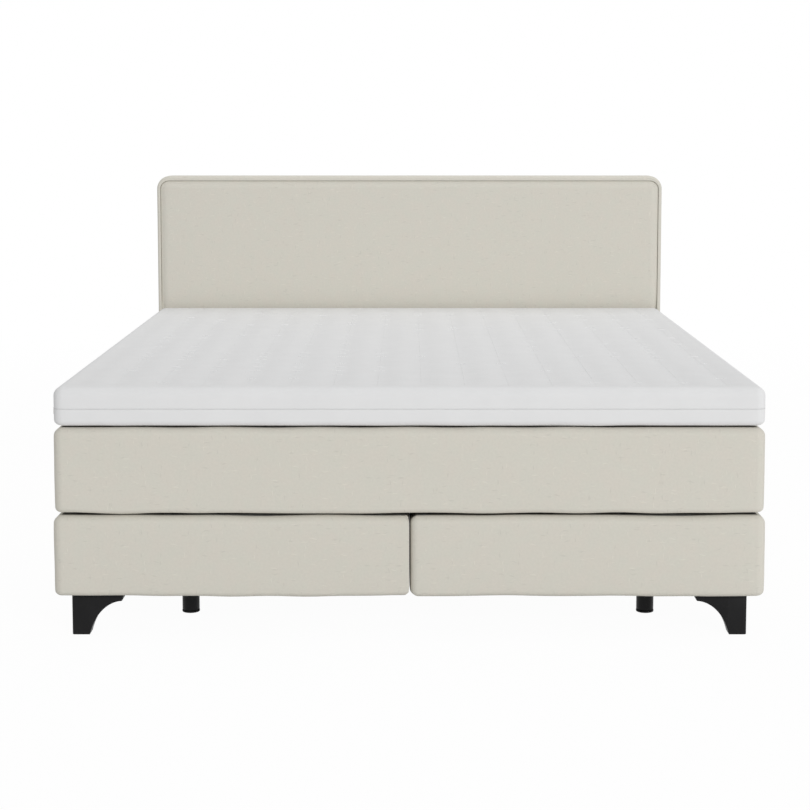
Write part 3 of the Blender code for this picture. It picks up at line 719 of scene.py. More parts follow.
class Rim:
    """The border of a rounded rectangle: how each point of it moves as the border is inset.

    corners holds one radius, or those of the low left, low right, high left and high right.
    """

    def __init__(self, half_x, half_y, xs, ys, *corners):
        self.half = (half_x, half_y)
        self.corners = corners * 4 if len(corners) == 1 else corners
        corner = max(corners)
        flat_x, flat_y = half_x - corner, half_y - corner
        walk = [(x, -flat_y) for x in xs]
        walk += [(flat_x, y) for y in ys[1:]]
        walk += [(x, flat_y) for x in reversed(xs[:-1])]
        walk += [(-flat_x, y) for y in reversed(ys[1:-1])]
        self.stations = []
        self.owner = []
        starts = {(-1, -1): 180, (1, -1): 270, (1, 1): 0, (-1, 1): 90}
        for index, (x, y) in enumerate(walk):
            u, v = x / flat_x, y / flat_y
            at_x, at_y = abs(abs(u) - 1) < 1e-6, abs(abs(v) - 1) < 1e-6
            if at_x and at_y:
                start = starts[1 if u > 0 else -1, 1 if v > 0 else -1]
                turns = [start + 90 * step / corner_steps for step in range(corner_steps + 1)]
            elif at_y:
                turns = [270 if v < 0 else 90]
            else:
                turns = [0 if u > 0 else 180]
            for turn in turns:
                self.stations.append((u, v, math.radians(turn)))
                self.owner.append(index)
        self.outward = [(math.cos(turn), math.sin(turn)) for _, _, turn in self.stations]
        self.outer = self.ring([0.0] * len(self.stations))
        self.along = [0.0]
        for a, b in zip(self.outer, self.outer[1:] + self.outer[:1]):
            self.along.append(self.along[-1] + math.dist(a, b))

    def ring(self, insets):
        """The border's points in plan, with one inset for each station."""
        points = []
        for (u, v, turn), inward in zip(self.stations, insets):
            whole = self.corners[2 * (v > 0) + (u > 0)]
            corner = max(whole - inward, least_corner)
            x = self.half[0] - inward - corner
            y = self.half[1] - inward - corner
            points.append((u * x + corner * math.cos(turn), v * y + corner * math.sin(turn)))
        return points

    def line(self, inset, height, put):
        """One closed line of points at an inset and a height."""
        return [put(x, y, height) for x, y in self.ring([inset] * len(self.stations))]


def plain_rim(half_x, half_y, *corners, spacing=0.06):
    """A rim with evenly spaced stations."""
    corner = max(corners)
    flat_x, flat_y = half_x - corner, half_y - corner
    xs, ys = spread(-flat_x, flat_x, spacing), spread(-flat_y, flat_y, spacing)
    return Rim(half_x, half_y, xs, ys, *corners)


def rim_round(low, high, *corners, up=1):
    """A plain rim round a box seen from above, or from the front with up=2."""
    return plain_rim((high.x - low.x) / 2, (high[up] - low[up]) / 2, *corners)


def lying(centre_x, centre_y):
    """Places a piece that is drawn in plan: its heights run up."""
    return lambda x, y, height: (centre_x + x, centre_y + y, height)


def upright(back, middle_z):
    """Places a piece of the headboard: its heights run from the back towards the foot end."""
    return lambda x, y, height: (x, back - height, middle_z + y)


def still(s, inset, z, outward, spot):
    """The sway of a piece whose rings keep their plain shape: none outwards and none upwards."""
    return 0.0, 0.0


def sew_rings(sewing, rim, profile, put, sway=still, loop=False):
    """Rings along a profile of (inset, height) pairs, sway moves single points of them."""
    rings = []
    for inset, z in profile:
        insets, heights = [], []
        for s, outward, spot in zip(rim.along, rim.outward, rim.outer):
            out, up = sway(s, inset, z, outward, spot)
            insets.append(inset - out)
            heights.append(z + up)
        plan = rim.ring(insets)
        rings.append(sewing.row([put(x, y, height) for (x, y), height in zip(plan, heights)]))
    lengths = [0.0]
    for a, b in zip(profile, profile[1:]):
        lengths.append(lengths[-1] + math.dist(a, b))
    for k in range(len(rings) - 1):
        sewing.band(rings[k], rings[k + 1], rim.along, (lengths[k], lengths[k + 1]))
    if loop:
        sewing.band(rings[-1], rings[0], rim.along, (0.0, profile[0][0]))
    return rings


def sew_grid(sewing, xs, ys, height, put):
    """A sheet of quads over a grid. Returns its rows of points."""
    grid = [sewing.row([put(x, y, height(x, y)) for x in xs]) for y in ys]
    for j in range(len(ys) - 1):
        for i in range(len(xs) - 1):
            corners = (grid[j][i], grid[j][i + 1], grid[j + 1][i + 1], grid[j + 1][i])
            cloth = [(xs[i], ys[j]), (xs[i + 1], ys[j]), (xs[i + 1], ys[j + 1]), (xs[i], ys[j + 1])]
            sewing.face(corners, cloth)
    return grid


def sew_border(sewing, rim, grid, first, across):
    """Joins the grid's border to the first ring round it, with a fan at each corner."""
    border = grid[0] + [row[-1] for row in grid[1:]] + grid[-1][-2::-1]
    border += [row[0] for row in grid[-2:0:-1]]
    for i in range(len(first)):
        j = (i + 1) % len(first)
        a, b = border[rim.owner[i]], border[rim.owner[j]]
        near, far = rim.along[i], rim.along[i + 1]
        cloth = [(near, 0.0), (near, across), (far, across), (far, 0.0)]
        count = 3 if a == b else 4
        sewing.face((a, first[i], first[j], b)[:count], cloth[:count])


def seam_dips(profile, height):
    """Presses a sewn seam into the profile where it passes a height."""

    def dip(z):
        return seam_dip * max(0.0, 1 - abs(z - height) / seam_half_width)

    return [(inset + dip(z), z) for inset, z in profile]


def padded_block(name, body, cloth, wall, hem, seed, inner=0):
    """A sewn cover over a padded block: crowned top, round edges, swelling sides, turned hem.

    inner is -1 or 1 on a box whose side towards -X or +X is pressed against the other box.
    """
    low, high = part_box(name + "_cover")
    half_x, half_y = (high.x - low.x) / 2, (high.y - low.y) / 2
    put = lying(*middle_of(name + "_cover"))
    flat_x, flat_y = half_x - plan_corner, half_y - plan_corner
    xs, ys = (spread(-flat, flat, block_grid) for flat in (flat_x, flat_y))
    left = right_split_corner if inner < 0 else plan_corner
    right = left_split_corner if inner > 0 else plan_corner
    rim = Rim(half_x, half_y, xs, ys, left, right, left, right)
    squareness = split_squareness if inner > 0 else 0.0
    sewing = Sewing()

    def sag(spot):
        return edge_drop * (1 + 0.9 * wave(seed + 7, spot, 0.16))

    def sway(s, inset, z, outward, spot):
        share = (z - low.z) / (high.z - low.z)
        swell = 1 - abs(2 * min(max(share, 0.0), 1.0) - 1) ** 6
        touching = max(0.0, outward[0] * inner) ** 2
        out = block_slack * wave(seed, (s, z * 2), 0.22) * hump(share) - belly * (1 - swell)
        opening = split_opening * math.exp(-(spot[1] + half_y) / 0.05) * min(1.0, share / 0.4)
        opening += split_round * max(0.0, 1 - share / 0.10) ** 1.5
        tight = pressed * swell - opening + inset * squareness * (share > 0.5)
        out = (out - side_inset) * (1 - touching) + tight * touching
        if share > 0.5:
            return out, -sag(spot) * math.exp(-(((share - 1) / 0.12) ** 2))
        lift = edge_lift * (1 + (0.4 + 0.7 * outward[1] ** 2) * wave(seed + 9, spot, 0.13))
        return out, lift * math.exp(-((share / 0.12) ** 2))

    def top(x, y):
        near = min(flat_x - abs(x), flat_y - abs(y))
        soft = 0.0006 * wave(seed + 3, (x, y), 0.30) * (1 - math.exp(-near / 0.09))
        return high.z - crown_gap + soft - sag((x, y)) * math.exp(-near / 0.022)

    bend, foot = high.z - upper_edge, low.z + lower_edge
    outer = quarter(0.0, bend, upper_edge, 90, 0)
    outer += [(0.0, z) for z in spread(bend, foot, 0.014)[1:-1]]
    outer = seam_dips(outer + quarter(0.0, foot, lower_edge, 0, -90), high.z - upper_edge * 0.35)
    grid = sew_grid(sewing, xs, ys, top, put)
    rings = sew_rings(sewing, rim, outer, put, sway)
    sew_border(sewing, rim, grid, rings[0], plan_corner - upper_edge)
    inset = wall + belly
    skin = [(hem, low.z), (hem, low.z + wall)]
    skin += quarter(inset, foot, lower_edge - wall, -90, 0, 4)
    skin += quarter(inset, bend, upper_edge - wall, 0, 90, 4)
    under = sew_rings(sewing, rim, skin, put)
    sewing.band(rings[-1], under[0], rim.along, (0.0, hem))
    sewing.face(under[-1])
    sewing.fit(
        name + "_upholstery", cloth, body, "upholstery_fabric", name + "_cover", fill=0.9, sharp=55,
    )


def block_covers(cloth):
    """The upholstery of both boxes and of the mattress."""
    padded_block("left_box", "bed_base", cloth, box_wall, box_hem, 11.0, 1)
    padded_block("right_box", "bed_base", cloth, box_wall, box_hem, 31.0, -1)
    padded_block("mattress", "mattress", cloth, mattress_wall, mattress_hem, 51.0)


def channel_valley(x):
    """1 on a line of stitches, 0 on the crest between two lines."""
    phase = (x - channel_offset) / channel_pitch
    return abs(math.cos(math.pi * phase)) ** 2.2


def topper_top_height(x, y):
    """The quilted top: channels between lines of stitches, puckered along the thread."""
    near = min(topper_flat_x - abs(x), topper_flat_y - abs(y))
    fade = min(1.0, max(0.0, near / channel_fade))
    valley = channel_valley(x)
    pucker = wave(2.0, (x * 0.35, y), pucker_length) * pucker_depth * (0.25 + valley)
    soft = wave(5.0, (x, y), 0.28) * 0.0009
    index, row = round((x - channel_offset) / channel_pitch), round(y / tack_pitch)
    if tacked(index, row):
        off_x = (x - channel_offset - index * channel_pitch) / (tack_reach * 1.4)
        off_y = (y - row * tack_pitch) / 0.010
        pucker += tack_height * math.exp(-(off_x**2) - off_y**2)
    return topper_high.z - fade * (channel_depth * valley - pucker - soft) - crown_gap


def tacked(index, row):
    """Whether a tack gathers the cloth on this line of stitches and this row."""
    return wave(7.7, (index * 0.31, row * 0.83), 1.0) > tack_rarity


def case_side(edge, radius, rim):
    """The outside of a half cover, from its round edge to the zip, where it turns in."""
    sign = 1 if edge > rim else -1
    start, end = edge - sign * radius, rim + sign * zip_recess
    outside = quarter(0.0, start, radius, 90 * sign, 0)
    outside += [(0.0, z) for z in spread(start, end, 0.008)[1:]]
    outside += [(zip_recess * 0.3, rim + sign * zip_recess * 0.3), (zip_recess, rim)]
    return outside + [(topper_wall, rim)]


def topper_covers(knit):
    """The topper's two half covers, which the zip joins."""
    put = lying(0.0, middle_y)
    xs = spread(-topper_flat_x, topper_flat_x, channel_pitch / 14)
    ys = spread(-topper_flat_y, topper_flat_y, topper_grid)
    rim = Rim(topper_half_width, half_length, xs, ys, plan_corner)
    top = topper_high.z - crown_gap
    seam = topper_low.z + zip_height
    rim_low = seam + zip_width / 2 + lip_gap

    def sway(s, inset, z, outward, spot):
        return 0.0010 * wave(8.0, (s, z), 0.18) * hump((z - rim_low) / (top - rim_low)), 0.0

    sewing = Sewing()
    grid = sew_grid(sewing, xs, ys, topper_top_height, put)
    outer = case_side(top, topper_upper_edge, rim_low)
    outer += quarter(topper_wall, top - topper_upper_edge, topper_upper_edge - topper_wall, 0, 90, 4)
    rings = sew_rings(sewing, rim, outer, put, sway)
    sew_border(sewing, rim, grid, rings[0], plan_corner - topper_upper_edge)
    sewing.face(rings[-1])
    sewing.fit(
        "topper_quilted_top", knit, "topper", "topper_ticking", "topper_upper_cover", fill=0.75,
        sharp=60,
    )

    rim = plain_rim(topper_half_width, half_length, plan_corner, spacing=0.03)
    rim_high = seam - zip_width / 2 - lip_gap
    low = topper_low.z

    def lower_sway(s, inset, z, outward, spot):
        edge = math.exp(-(((z - low) / 0.016) ** 2))
        out = 0.0009 * wave(9.0, (s, z), 0.16) * hump((z - low) / (rim_high - low))
        return out, 0.0018 * edge * (1 + wave(14.0, (s, 0.0), 0.11))

    sewing = Sewing()
    outer = case_side(low, topper_lower_edge, rim_high)
    bend = topper_lower_edge + 0.002
    outer += [(topper_wall, low + bend), (bend, low + topper_wall)]
    rings = sew_rings(sewing, rim, outer, put, lower_sway)
    sewing.face(rings[0], [(sewing.points[i][0], sewing.points[i][1]) for i in rings[0]])
    sewing.face(rings[-1])
    sewing.fit(
        "topper_lower_case", knit, "topper", "topper_ticking", "topper_lower_cover", fill=0.75,
        sharp=60,
    )


def guide_lines(lines, closed):
    """A mesh of loose edges that a pattern follows."""
    points, edges = [], []
    for line in lines:
        start = len(points)
        points += line
        edges += [(i, i + 1) for i in range(start, len(points) - 1)]
        if closed:
            edges.append((len(points) - 1, start))
    mesh = bpy.data.meshes.new("guide")
    mesh.from_pydata(points, edges, [])
    return mesh


def set_along(name, lines, material, pitch, size, kind, closed=False, **inputs):
    """Repeats a shape of geometry nodes at equal steps along lines, its Z along the line."""
    made = Pattern(name + "_pattern", pitch=1.0, size=(1.0, 1.0, 1.0))
    curve = made.add("GeometryNodeMeshToCurve", {0: made.value("Geometry")})
    values = {"Curve": curve, "Length": made.value("pitch")}
    points = made.add("GeometryNodeCurveToPoints", values, output="Points", mode="LENGTH")
    rotation = Wire(made, points.socket.node.outputs["Rotation"])
    values = {"Geometry": made.add(kind, inputs), "Scale": made.value("size")}
    made.close(points, made.add("GeometryNodeTransform", values), rotation)
    return made.grow(name, guide_lines(lines, closed), material, pitch=pitch, size=size)


def zip_pieces(tape, nylon, plating):
    """The tape behind the zip, its teeth all round the topper, and the slider with its tab."""
    put = lying(0.0, middle_y)
    rim = plain_rim(topper_half_width, half_length, plan_corner)
    seam = topper_low.z + zip_height
    low, high = seam - zip_width / 2, seam + zip_width / 2
    outer, inner = zip_recess, zip_recess + tape_depth
    profile = [(inner, low), (outer, low), (outer, high), (inner, high)]
    sewing = Sewing()
    sew_rings(sewing, rim, profile, put, loop=True)
    sewing.fit("topper_zip_ribbon", tape, "topper", "zip_tape", "topper_zip_tape", sharp=40)

    line = rim.line(zip_recess - tooth_size[0] * 0.3, seam, put)
    made = set_along(
        "topper_zip_teeth", [line], nylon, tooth_pitch, tooth_size, "GeometryNodeMeshCube", closed=True
    )
    finish_piece(made, "topper", "zip_tape")
    zip_slider(plating)


def zip_slider(plating):
    """The slider: a shield-shaped plate, a bridge over it and a pull tab hanging from it."""
    low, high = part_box("topper_zip_slider")
    centre_y, centre_z = (low.y + high.y) / 2, (low.z + high.z) / 2
    reach, rise = (high.y - low.y) / 2, (high.z - low.z) / 2
    face = -topper_half_width - slider_gap
    sewing = Sewing()

    def plate(outline, base, thickness):
        sewing.tube([
            [(x, centre_y + y, centre_z + z) for y, z in outline] for x in (base, base - thickness)
        ])

    def oval(half_y, half_z, power, taper, low_z=0.0):
        outline = []
        for turn in turns(28):
            side, up = math.cos(turn), math.sin(turn)
            y = half_y * math.copysign(abs(side) ** power, side)
            z = half_z * (1 - taper * side) * math.copysign(abs(up) ** power, up)
            outline.append((y, z + low_z))
        return outline

    plate(oval(reach, rise * 0.86, 0.7, 0.16), face, 0.0011)
    plate([(-0.004, -0.0013), (0.004, -0.0013), (0.004, 0.0013), (-0.004, 0.0013)], face + 0.0018, 0.002)
    plate(oval(0.0020, 0.0075, 0.6, 0.0, -0.0095), face - 0.0034, 0.0009)
    bridge = arc((0.0, 0.0), 0.0034, 0, 180, 10) + arc((0.0, 0.0), 0.0022, 180, 0, 10)
    sewing.tube([
        [(face - 0.0008 - up * 1.2, centre_y + y, centre_z + z) for y, up in bridge]
        for z in (-0.0008, 0.0008)
    ])
    sewing.fit(
        "topper_zip_puller", plating, "zip_slider", "zip_slider_finish", "topper_zip_slider",
        bevel=0.0002,
    )


def quilting(yarn, tack_yarn):
    """The rows of stitches that hold the topper's channels down, and the tacks across them."""
    end, reach = topper_flat_y - channel_fade * 0.6, topper_flat_x - channel_fade
    ys = spread(-end, end, topper_grid)
    first = math.ceil((-reach - channel_offset) / channel_pitch)
    last = math.floor((reach - channel_offset) / channel_pitch)

    def on_top(places, rise):
        return [(x, middle_y + y, topper_top_height(x, y) + rise) for x, y in places]

    lines, tacks = [], []
    for index in range(first, last + 1):
        x = channel_offset + index * channel_pitch
        lines.append(on_top([(x, y) for y in ys], stitch_rise))
        for row in range(math.ceil(ys[0] / tack_pitch), math.floor(ys[-1] / tack_pitch) + 1):
            if tacked(index, row):
                across = spread(x - tack_reach, x + tack_reach, 0.004)
                tacks.append(on_top([(a, row * tack_pitch) for a in across], tack_rise))
    for name, rows, material, pitch, size, segments, rings in (
        ("topper_quilting_thread", lines, yarn, stitch_pitch, stitch_size, 6, 4),
        ("topper_quilting_tacks", tacks, tack_yarn, tack_stitch, tack_size, 8, 6),
    ):
        made = set_along(
            name, rows, material, pitch, size, "GeometryNodeMeshUVSphere",
            Segments=segments, Rings=rings, Radius=1.0,
        )
        made.data.shade_smooth()
        finish_piece(made, "topper", "topper_ticking")


def headboard_pieces(cloth):
    """The headboard's border band and its padded front panel, sewn into a groove."""
    half_x = headboard_half_width
    half_z, middle_z = (band_high.z - band_low.z) / 2, (band_high.z + band_low.z) / 2
    put = upright(band_high.y, middle_z)
    depth = band_high.y - panel_low.y
    corners = (headboard_foot_corner, headboard_foot_corner, headboard_corner, headboard_corner)
    rim = plain_rim(half_x, half_z, *corners, spacing=0.03)
    front = depth - border_setback

    def spare(outward):
        """How much nearer to the border the seam lies on the sides, and farther at the top."""
        return side_narrowing * outward[0] ** 2 - top_widening * outward[1] ** 2

    def band_sway(s, inset, forward, outward, spot):
        shift = inset * spare(outward) if forward > depth / 2 else 0.0
        return 0.0007 * wave(12.0, (s, forward), 0.17) * hump(forward / front) + shift, 0.0

    profile = [(border_hem, border_wall), (border_hem, 0.0)]
    profile += quarter(0.0, border_back_radius, border_back_radius, -90, 0, 6)
    bend = front - border_front_radius
    profile += [(0.0, forward) for forward in spread(border_back_radius, bend, 0.012)[1:-1]]
    profile += quarter(0.0, bend, border_front_radius, 0, 90, 8)
    low = front - seam_depth
    profile += [(seam_inset, front - clearance), (seam_inset, low), (border_front_radius, low)]
    inner = border_front_radius - border_wall
    profile += arc((border_front_radius, low - inner), inner, 90, 180, 2)
    inner = border_back_radius - border_wall
    profile += arc((border_back_radius, border_back_radius), inner, 180, 270, 2)
    sewing = Sewing()
    sew_rings(sewing, rim, profile, put, band_sway, loop=True)
    sewing.fit(
        "headboard_border_upholstery", cloth, "bed_base", "upholstery_fabric", "headboard_border_band",
        fill=0.8, sharp=60,
    )

    inset = seam_inset + clearance
    start = depth - panel_thickness
    shoulder = depth - panel_crown - panel_edge
    level = topper_high.z - topper_press - middle_z
    profile = [(inset, start), (inset, shoulder)]
    profile += quarter(inset, shoulder, panel_edge, 0, 90, 8)[1:]
    for place in spread(inset + panel_edge, inset + panel_edge + panel_crown_width, 0.003)[1:]:
        share = (place - inset - panel_edge) / panel_crown_width
        profile.append((place, depth - panel_gap - (panel_crown - panel_gap) * (1 - share) ** 2))

    def hollow(x, y):
        """Where the topper's rear edge presses into the panel, and a slight unevenness."""
        pressed_in = panel_hollow * math.exp(-(((y - level) / panel_hollow_reach) ** 2))
        return -pressed_in - 0.0004 * (1 + wave(15.0, (x, y), 0.16))

    def panel_sway(s, inset, forward, outward, spot):
        rise = min(1.0, max(0.0, (forward - shoulder) / panel_edge))
        return seam_inset * spare(outward), rise * hollow(*spot)

    flat_x, flat_y = half_x - headboard_corner, half_z - headboard_corner
    xs, ys = spread(-flat_x, flat_x, 0.03), spread(-flat_y, flat_y, 0.008)
    rim = Rim(half_x, half_z, xs, ys, *corners)

    def face_height(x, y):
        near = min(flat_x - abs(x), flat_y - abs(y))
        return depth - panel_gap * math.exp(-near / 0.06) + hollow(x, y)

    sewing = Sewing()
    grid = sew_grid(sewing, xs, ys, face_height, put)
    rings = sew_rings(sewing, rim, profile, put, panel_sway)
    sew_border(sewing, rim, grid, rings[-1], 0.002)
    sewing.face(rings[0])
    sewing.fit(
        "headboard_panel_upholstery", cloth, "bed_base", "upholstery_fabric", "headboard_front_panel",
        fill=0.85, sharp=60,
    )


def middle_of(node, *axes):
    """The middle of a node's box, in X and Y or along the axes given."""
    low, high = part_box(node)
    return tuple((low[axis] + high[axis]) / 2 for axis in axes or (0, 1))


def leg_corner(side, end):
    """A corner leg's outer corner, the two directions of its wings and the top of its stud."""
    low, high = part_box(end + "_" + side + "_corner_leg")
    sign_x, sign_y = (1 if side == "left" else -1), (1 if end == "front" else -1)
    return (low.x if sign_x > 0 else high.x, low.y if sign_y > 0 else high.y), (sign_x, sign_y), high.z


def leg_stud(side, end):
    """Where the stud of a corner leg stands."""
    corner, signs, _ = leg_corner(side, end)
    return tuple(place + sign * stud_inset for place, sign in zip(corner, signs))


def corner_leg(side, end, plastic):
    """A bracket leg of two wings that meet in a foot, each cut away below by an arc."""
    name = end + "_" + side + "_corner_leg"
    corner, (sign_x, sign_y), stud_top = leg_corner(side, end)
    top = box_low.z + leg_set_in
    wing = [(leg_arc_centre[0] - x * leg_arc_reach[0], leg_arc_centre[1] + y * leg_arc_reach[1])
            for x, y in arc((0.0, 0.0), 1.0, *leg_arc_angles, 26)] + list(leg_tip)
    sewing = Sewing()

    def put(points):
        return sewing.row([(corner[0] + sign_x * x, corner[1] + sign_y * y, z) for x, y, z in points])

    round_corner = arc((0.0, 0.0), leg_outer_radius, 0, 90, 6)
    foot = [(leg_outer_radius - x, leg_outer_radius - y) for x, y in round_corner]
    foot += [(leg_foot, 0.0), (leg_foot, leg_foot), (0.0, leg_foot)]
    lower, upper = (put([(x, y, z) for x, y in foot]) for z in (0.0, top))
    for i in range(-1, len(foot) - 3):
        sewing.face((lower[i], lower[i + 1], upper[i + 1], upper[i]))
    sewing.face(lower)
    sewing.face(upper)
    for along_x, outer in ((True, -3), (False, -1)):
        before = (lower[outer], lower[-2], upper[-2], upper[outer])
        for run, z in wing[1:]:
            ends = ((0.0, z), (leg_foot, z), (leg_foot, top), (0.0, top))
            after = put([(run, y, h) if along_x else (y, run, h) for y, h in ends])
            for k in range(4):
                m = (k + 1) % 4
                sewing.face((before[k], before[m], after[m], after[k]))
            before = after
        sewing.face(before)
    profile = [(stud_radius, top - leg_bevel), (stud_radius, stud_top)]
    sewing.turn(profile, leg_stud(side, end), 16)
    sewing.fit(name + "_moulding", plastic, "bed_base", "leg_plastic", name, sharp=30, bevel=leg_bevel)


def support_leg(side, end, plastic, glide_plastic):
    """A round support leg on its adjustable glide."""
    name = end + "_" + side + "_support"
    low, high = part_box(name + "_leg")
    glide_low, glide_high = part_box(name + "_glide")
    centre = middle_of(name + "_leg")
    radius, glide_radius = (high.x - low.x) / 2, (glide_high.x - glide_low.x) / 2
    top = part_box("box_coupler")[0].z - clearance if end == "middle" else box_low.z + leg_set_in
    bore, rest = glide_stem + clearance, glide_height + clearance
    profile = [(bore, glide_high.z + clearance), (bore, rest), (radius - glide_round, rest)]
    profile += arc((radius - glide_round / 2, glide_height + glide_round), glide_round / 2, -90, 0, 5)
    profile += [(radius, top - post_edge), (radius - post_edge, top), (stud_radius, top)]
    sewing = Sewing()
    sewing.turn(profile + [(stud_radius, high.z)], centre)
    sewing.fit(name + "_post", plastic, "bed_base", "leg_plastic", name + "_leg", sharp=40)
    profile = [(glide_stem, 0.0)]
    profile += arc((glide_radius - glide_round, glide_round), glide_round, -90, 0, 5)
    profile += arc((glide_radius - glide_edge, glide_height - glide_edge), glide_edge, 0, 90, 5)
    profile += [(glide_stem, glide_height)]
    for height in spread(glide_height + thread_start, glide_high.z - thread_pitch, thread_pitch):
        profile += [(glide_stem, height), (glide_stem - thread_depth, height + thread_flank)]
    sewing = Sewing()
    sewing.turn(profile + [(glide_stem - 2 * thread_depth, glide_high.z)], centre)
    glide = name + "_glide"
    sewing.fit(name + "_foot_disc", glide_plastic, glide, "glide_plastic", glide, sharp=40)


def hexagon_bolt(name, plating, stands):
    """A hexagon bolt with a chamfered head on a washer, turned into the axis of its node."""
    low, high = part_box(name)
    start = -((high.z - low.z) if stands else (high.y - low.y)) / 2
    seat = start + bolt_head_height
    washer = seat - washer_thickness
    rows = [(bolt_head * 0.80, start, False), (bolt_head, start + bolt_chamfer, True)]
    rows += [(bolt_head, washer, True), (washer_radius, washer, False)]
    rows += [(washer_radius, seat, False), (bolt_radius, seat, False)]
    rows += [(bolt_radius, -start - bolt_chamfer, False), (bolt_radius - bolt_chamfer, -start, False)]
    rings = []
    for radius, along, six_sided in rows:
        outline = []
        for turn in turns(24):
            reach = radius
            if six_sided:
                reach *= math.cos(math.pi / 6) / math.cos(turn % (math.pi / 3) - math.pi / 6)
            outline.append((reach * math.cos(turn), reach * math.sin(turn)))
        rings.append(standing(middle_of(name, 0, 1, 2), outline, along if stands else -along, stands))
    sewing = Sewing()
    sewing.tube(rings)
    sewing.fit(name + "_hexagon", plating, "bed_base", "zinc_steel", name, sharp=30)


def bent_bracket(side, plating):
    """An angle bracket bent from flat steel, with a round bend and two bolt holes."""
    name = side + "_headboard_bracket"
    low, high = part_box(name)
    bend = (high.y - bend_radius - plate_thickness, low.z + bend_radius + plate_thickness)
    outline = [(low.y, low.z), *arc(bend, bend_radius + plate_thickness, -90, 0, 8), (high.y, high.z)]
    outline += [(high.y - plate_thickness, high.z), *arc(bend, bend_radius, 0, -90, 8)]
    outline += [(low.y, low.z + plate_thickness)]
    count = len(outline)
    sewing = Sewing()
    rows = [sewing.row([(x, y, z) for y, z in outline]) for x in (low.x, high.x)]
    sewing.band(rows[0], rows[1], [i / count for i in range(count + 1)], (0.0, 1.0))
    for row in rows:
        for i in range(count // 2 - 1):
            sewing.face((row[i], row[i + 1], row[count - 2 - i], row[count - 1 - i]))
    x = (low.x + high.x) / 2
    cut = (bolt_radius + bolt_clearance, bracket_punch)
    holes = [((x, middle_of(side + "_bracket_box_bolt")[1], low.z), 2, *cut)]
    holes += [((x, high.y, middle_of(side + "_bracket_headboard_bolt", 2)[0]), 1, *cut)]
    making = {"sharp": 30, "bevel": bracket_bevel, "holes": holes}
    sewing.fit(name + "_plate", plating, "bed_base", "steel", name, **making)


def stretched_cloth(name, node, body, material, rests_on, holes=()):
    """A sheet of thin cloth pulled flat over the area of its node, punched for studs or bolts."""
    low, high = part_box(node)
    size = [high[i] - low[i] for i in range(3)]
    thin = size.index(min(size))
    wide, long = [i for i in range(3) if i != thin]
    level = (low[thin] + high[thin]) / 2
    spans = [spread(low[i], high[i], cloth_grid) for i in (wide, long)]
    sewing = Sewing()

    def put(a, b, height):
        place = [height] * 3
        place[wide], place[long] = a, b
        return tuple(place)

    sew_grid(sewing, *spans, lambda a, b: level, put)
    made = sewing.piece(name, material)
    wall = made.modifiers.new("cloth", "SOLIDIFY")
    wall.thickness = size[thin] * 0.7
    wall.offset = 0.0
    make_plain(made)
    if holes:
        punch(made, [(put(a, b, level), thin, cloth_hole, cloth_punch) for a, b in holes])
    finish_piece(made, body, "dust_cloth", node)


def cloth_panels(black_lining_and_split_shade, grip):
    """Dust cloths under the boxes, the mattress's base cloth and the headboard's back cloth."""
    for side in ("left", "right"):
        box = side + "_box_"
        holes = [middle_of(end + "_" + side + "_support_leg") for end in ("front", "middle", "rear")]
        holes += [leg_stud(side, end) for end in ("front", "rear")]
        holes.append(middle_of(side + "_bracket_box_bolt"))
        names = (box + "dust_cloth", box + "dust_cover", "bed_base")
        stretched_cloth(*names, black_lining_and_split_shade, box + "plank_deck", holes)
    holes = [middle_of(side + "_bracket_headboard_bolt", 0, 2) for side in ("left", "right")]
    names = ("headboard_back_lining", "headboard_back_cloth", "bed_base")
    stretched_cloth(*names, black_lining_and_split_shade, "headboard_board", holes)
    names = ("mattress_base_cloth", "mattress_base_panel", "mattress")
    stretched_cloth(*names, grip, "mattress_upholstery")


def staples(wire):
    """Rows of staples round the dust cloths and the headboard's back cloth."""
    lines = []
    for node in ("left_box_dust_cover", "right_box_dust_cover"):
        low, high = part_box(node)
        put = lying(*middle_of(node))
        rim = rim_round(low, high, staple_corner)
        lines.append(rim.line(staple_edge, low.z + staple_rise, put))
    low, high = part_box("headboard_back_cloth")
    put = upright(high.y, (high.z + low.z) / 2)
    rim = rim_round(low, high, staple_corner, up=2)
    lines.append(rim.line(staple_edge, -staple_rise, put))
    made = set_along(
        "upholstery_staples", lines, wire, staple_pitch, staple_size, "GeometryNodeMeshCylinder",
        closed=True, Vertices=6, Radius=1.0, Depth=1.0,
    )
    finish_piece(made, "bed_base", "zinc_steel")


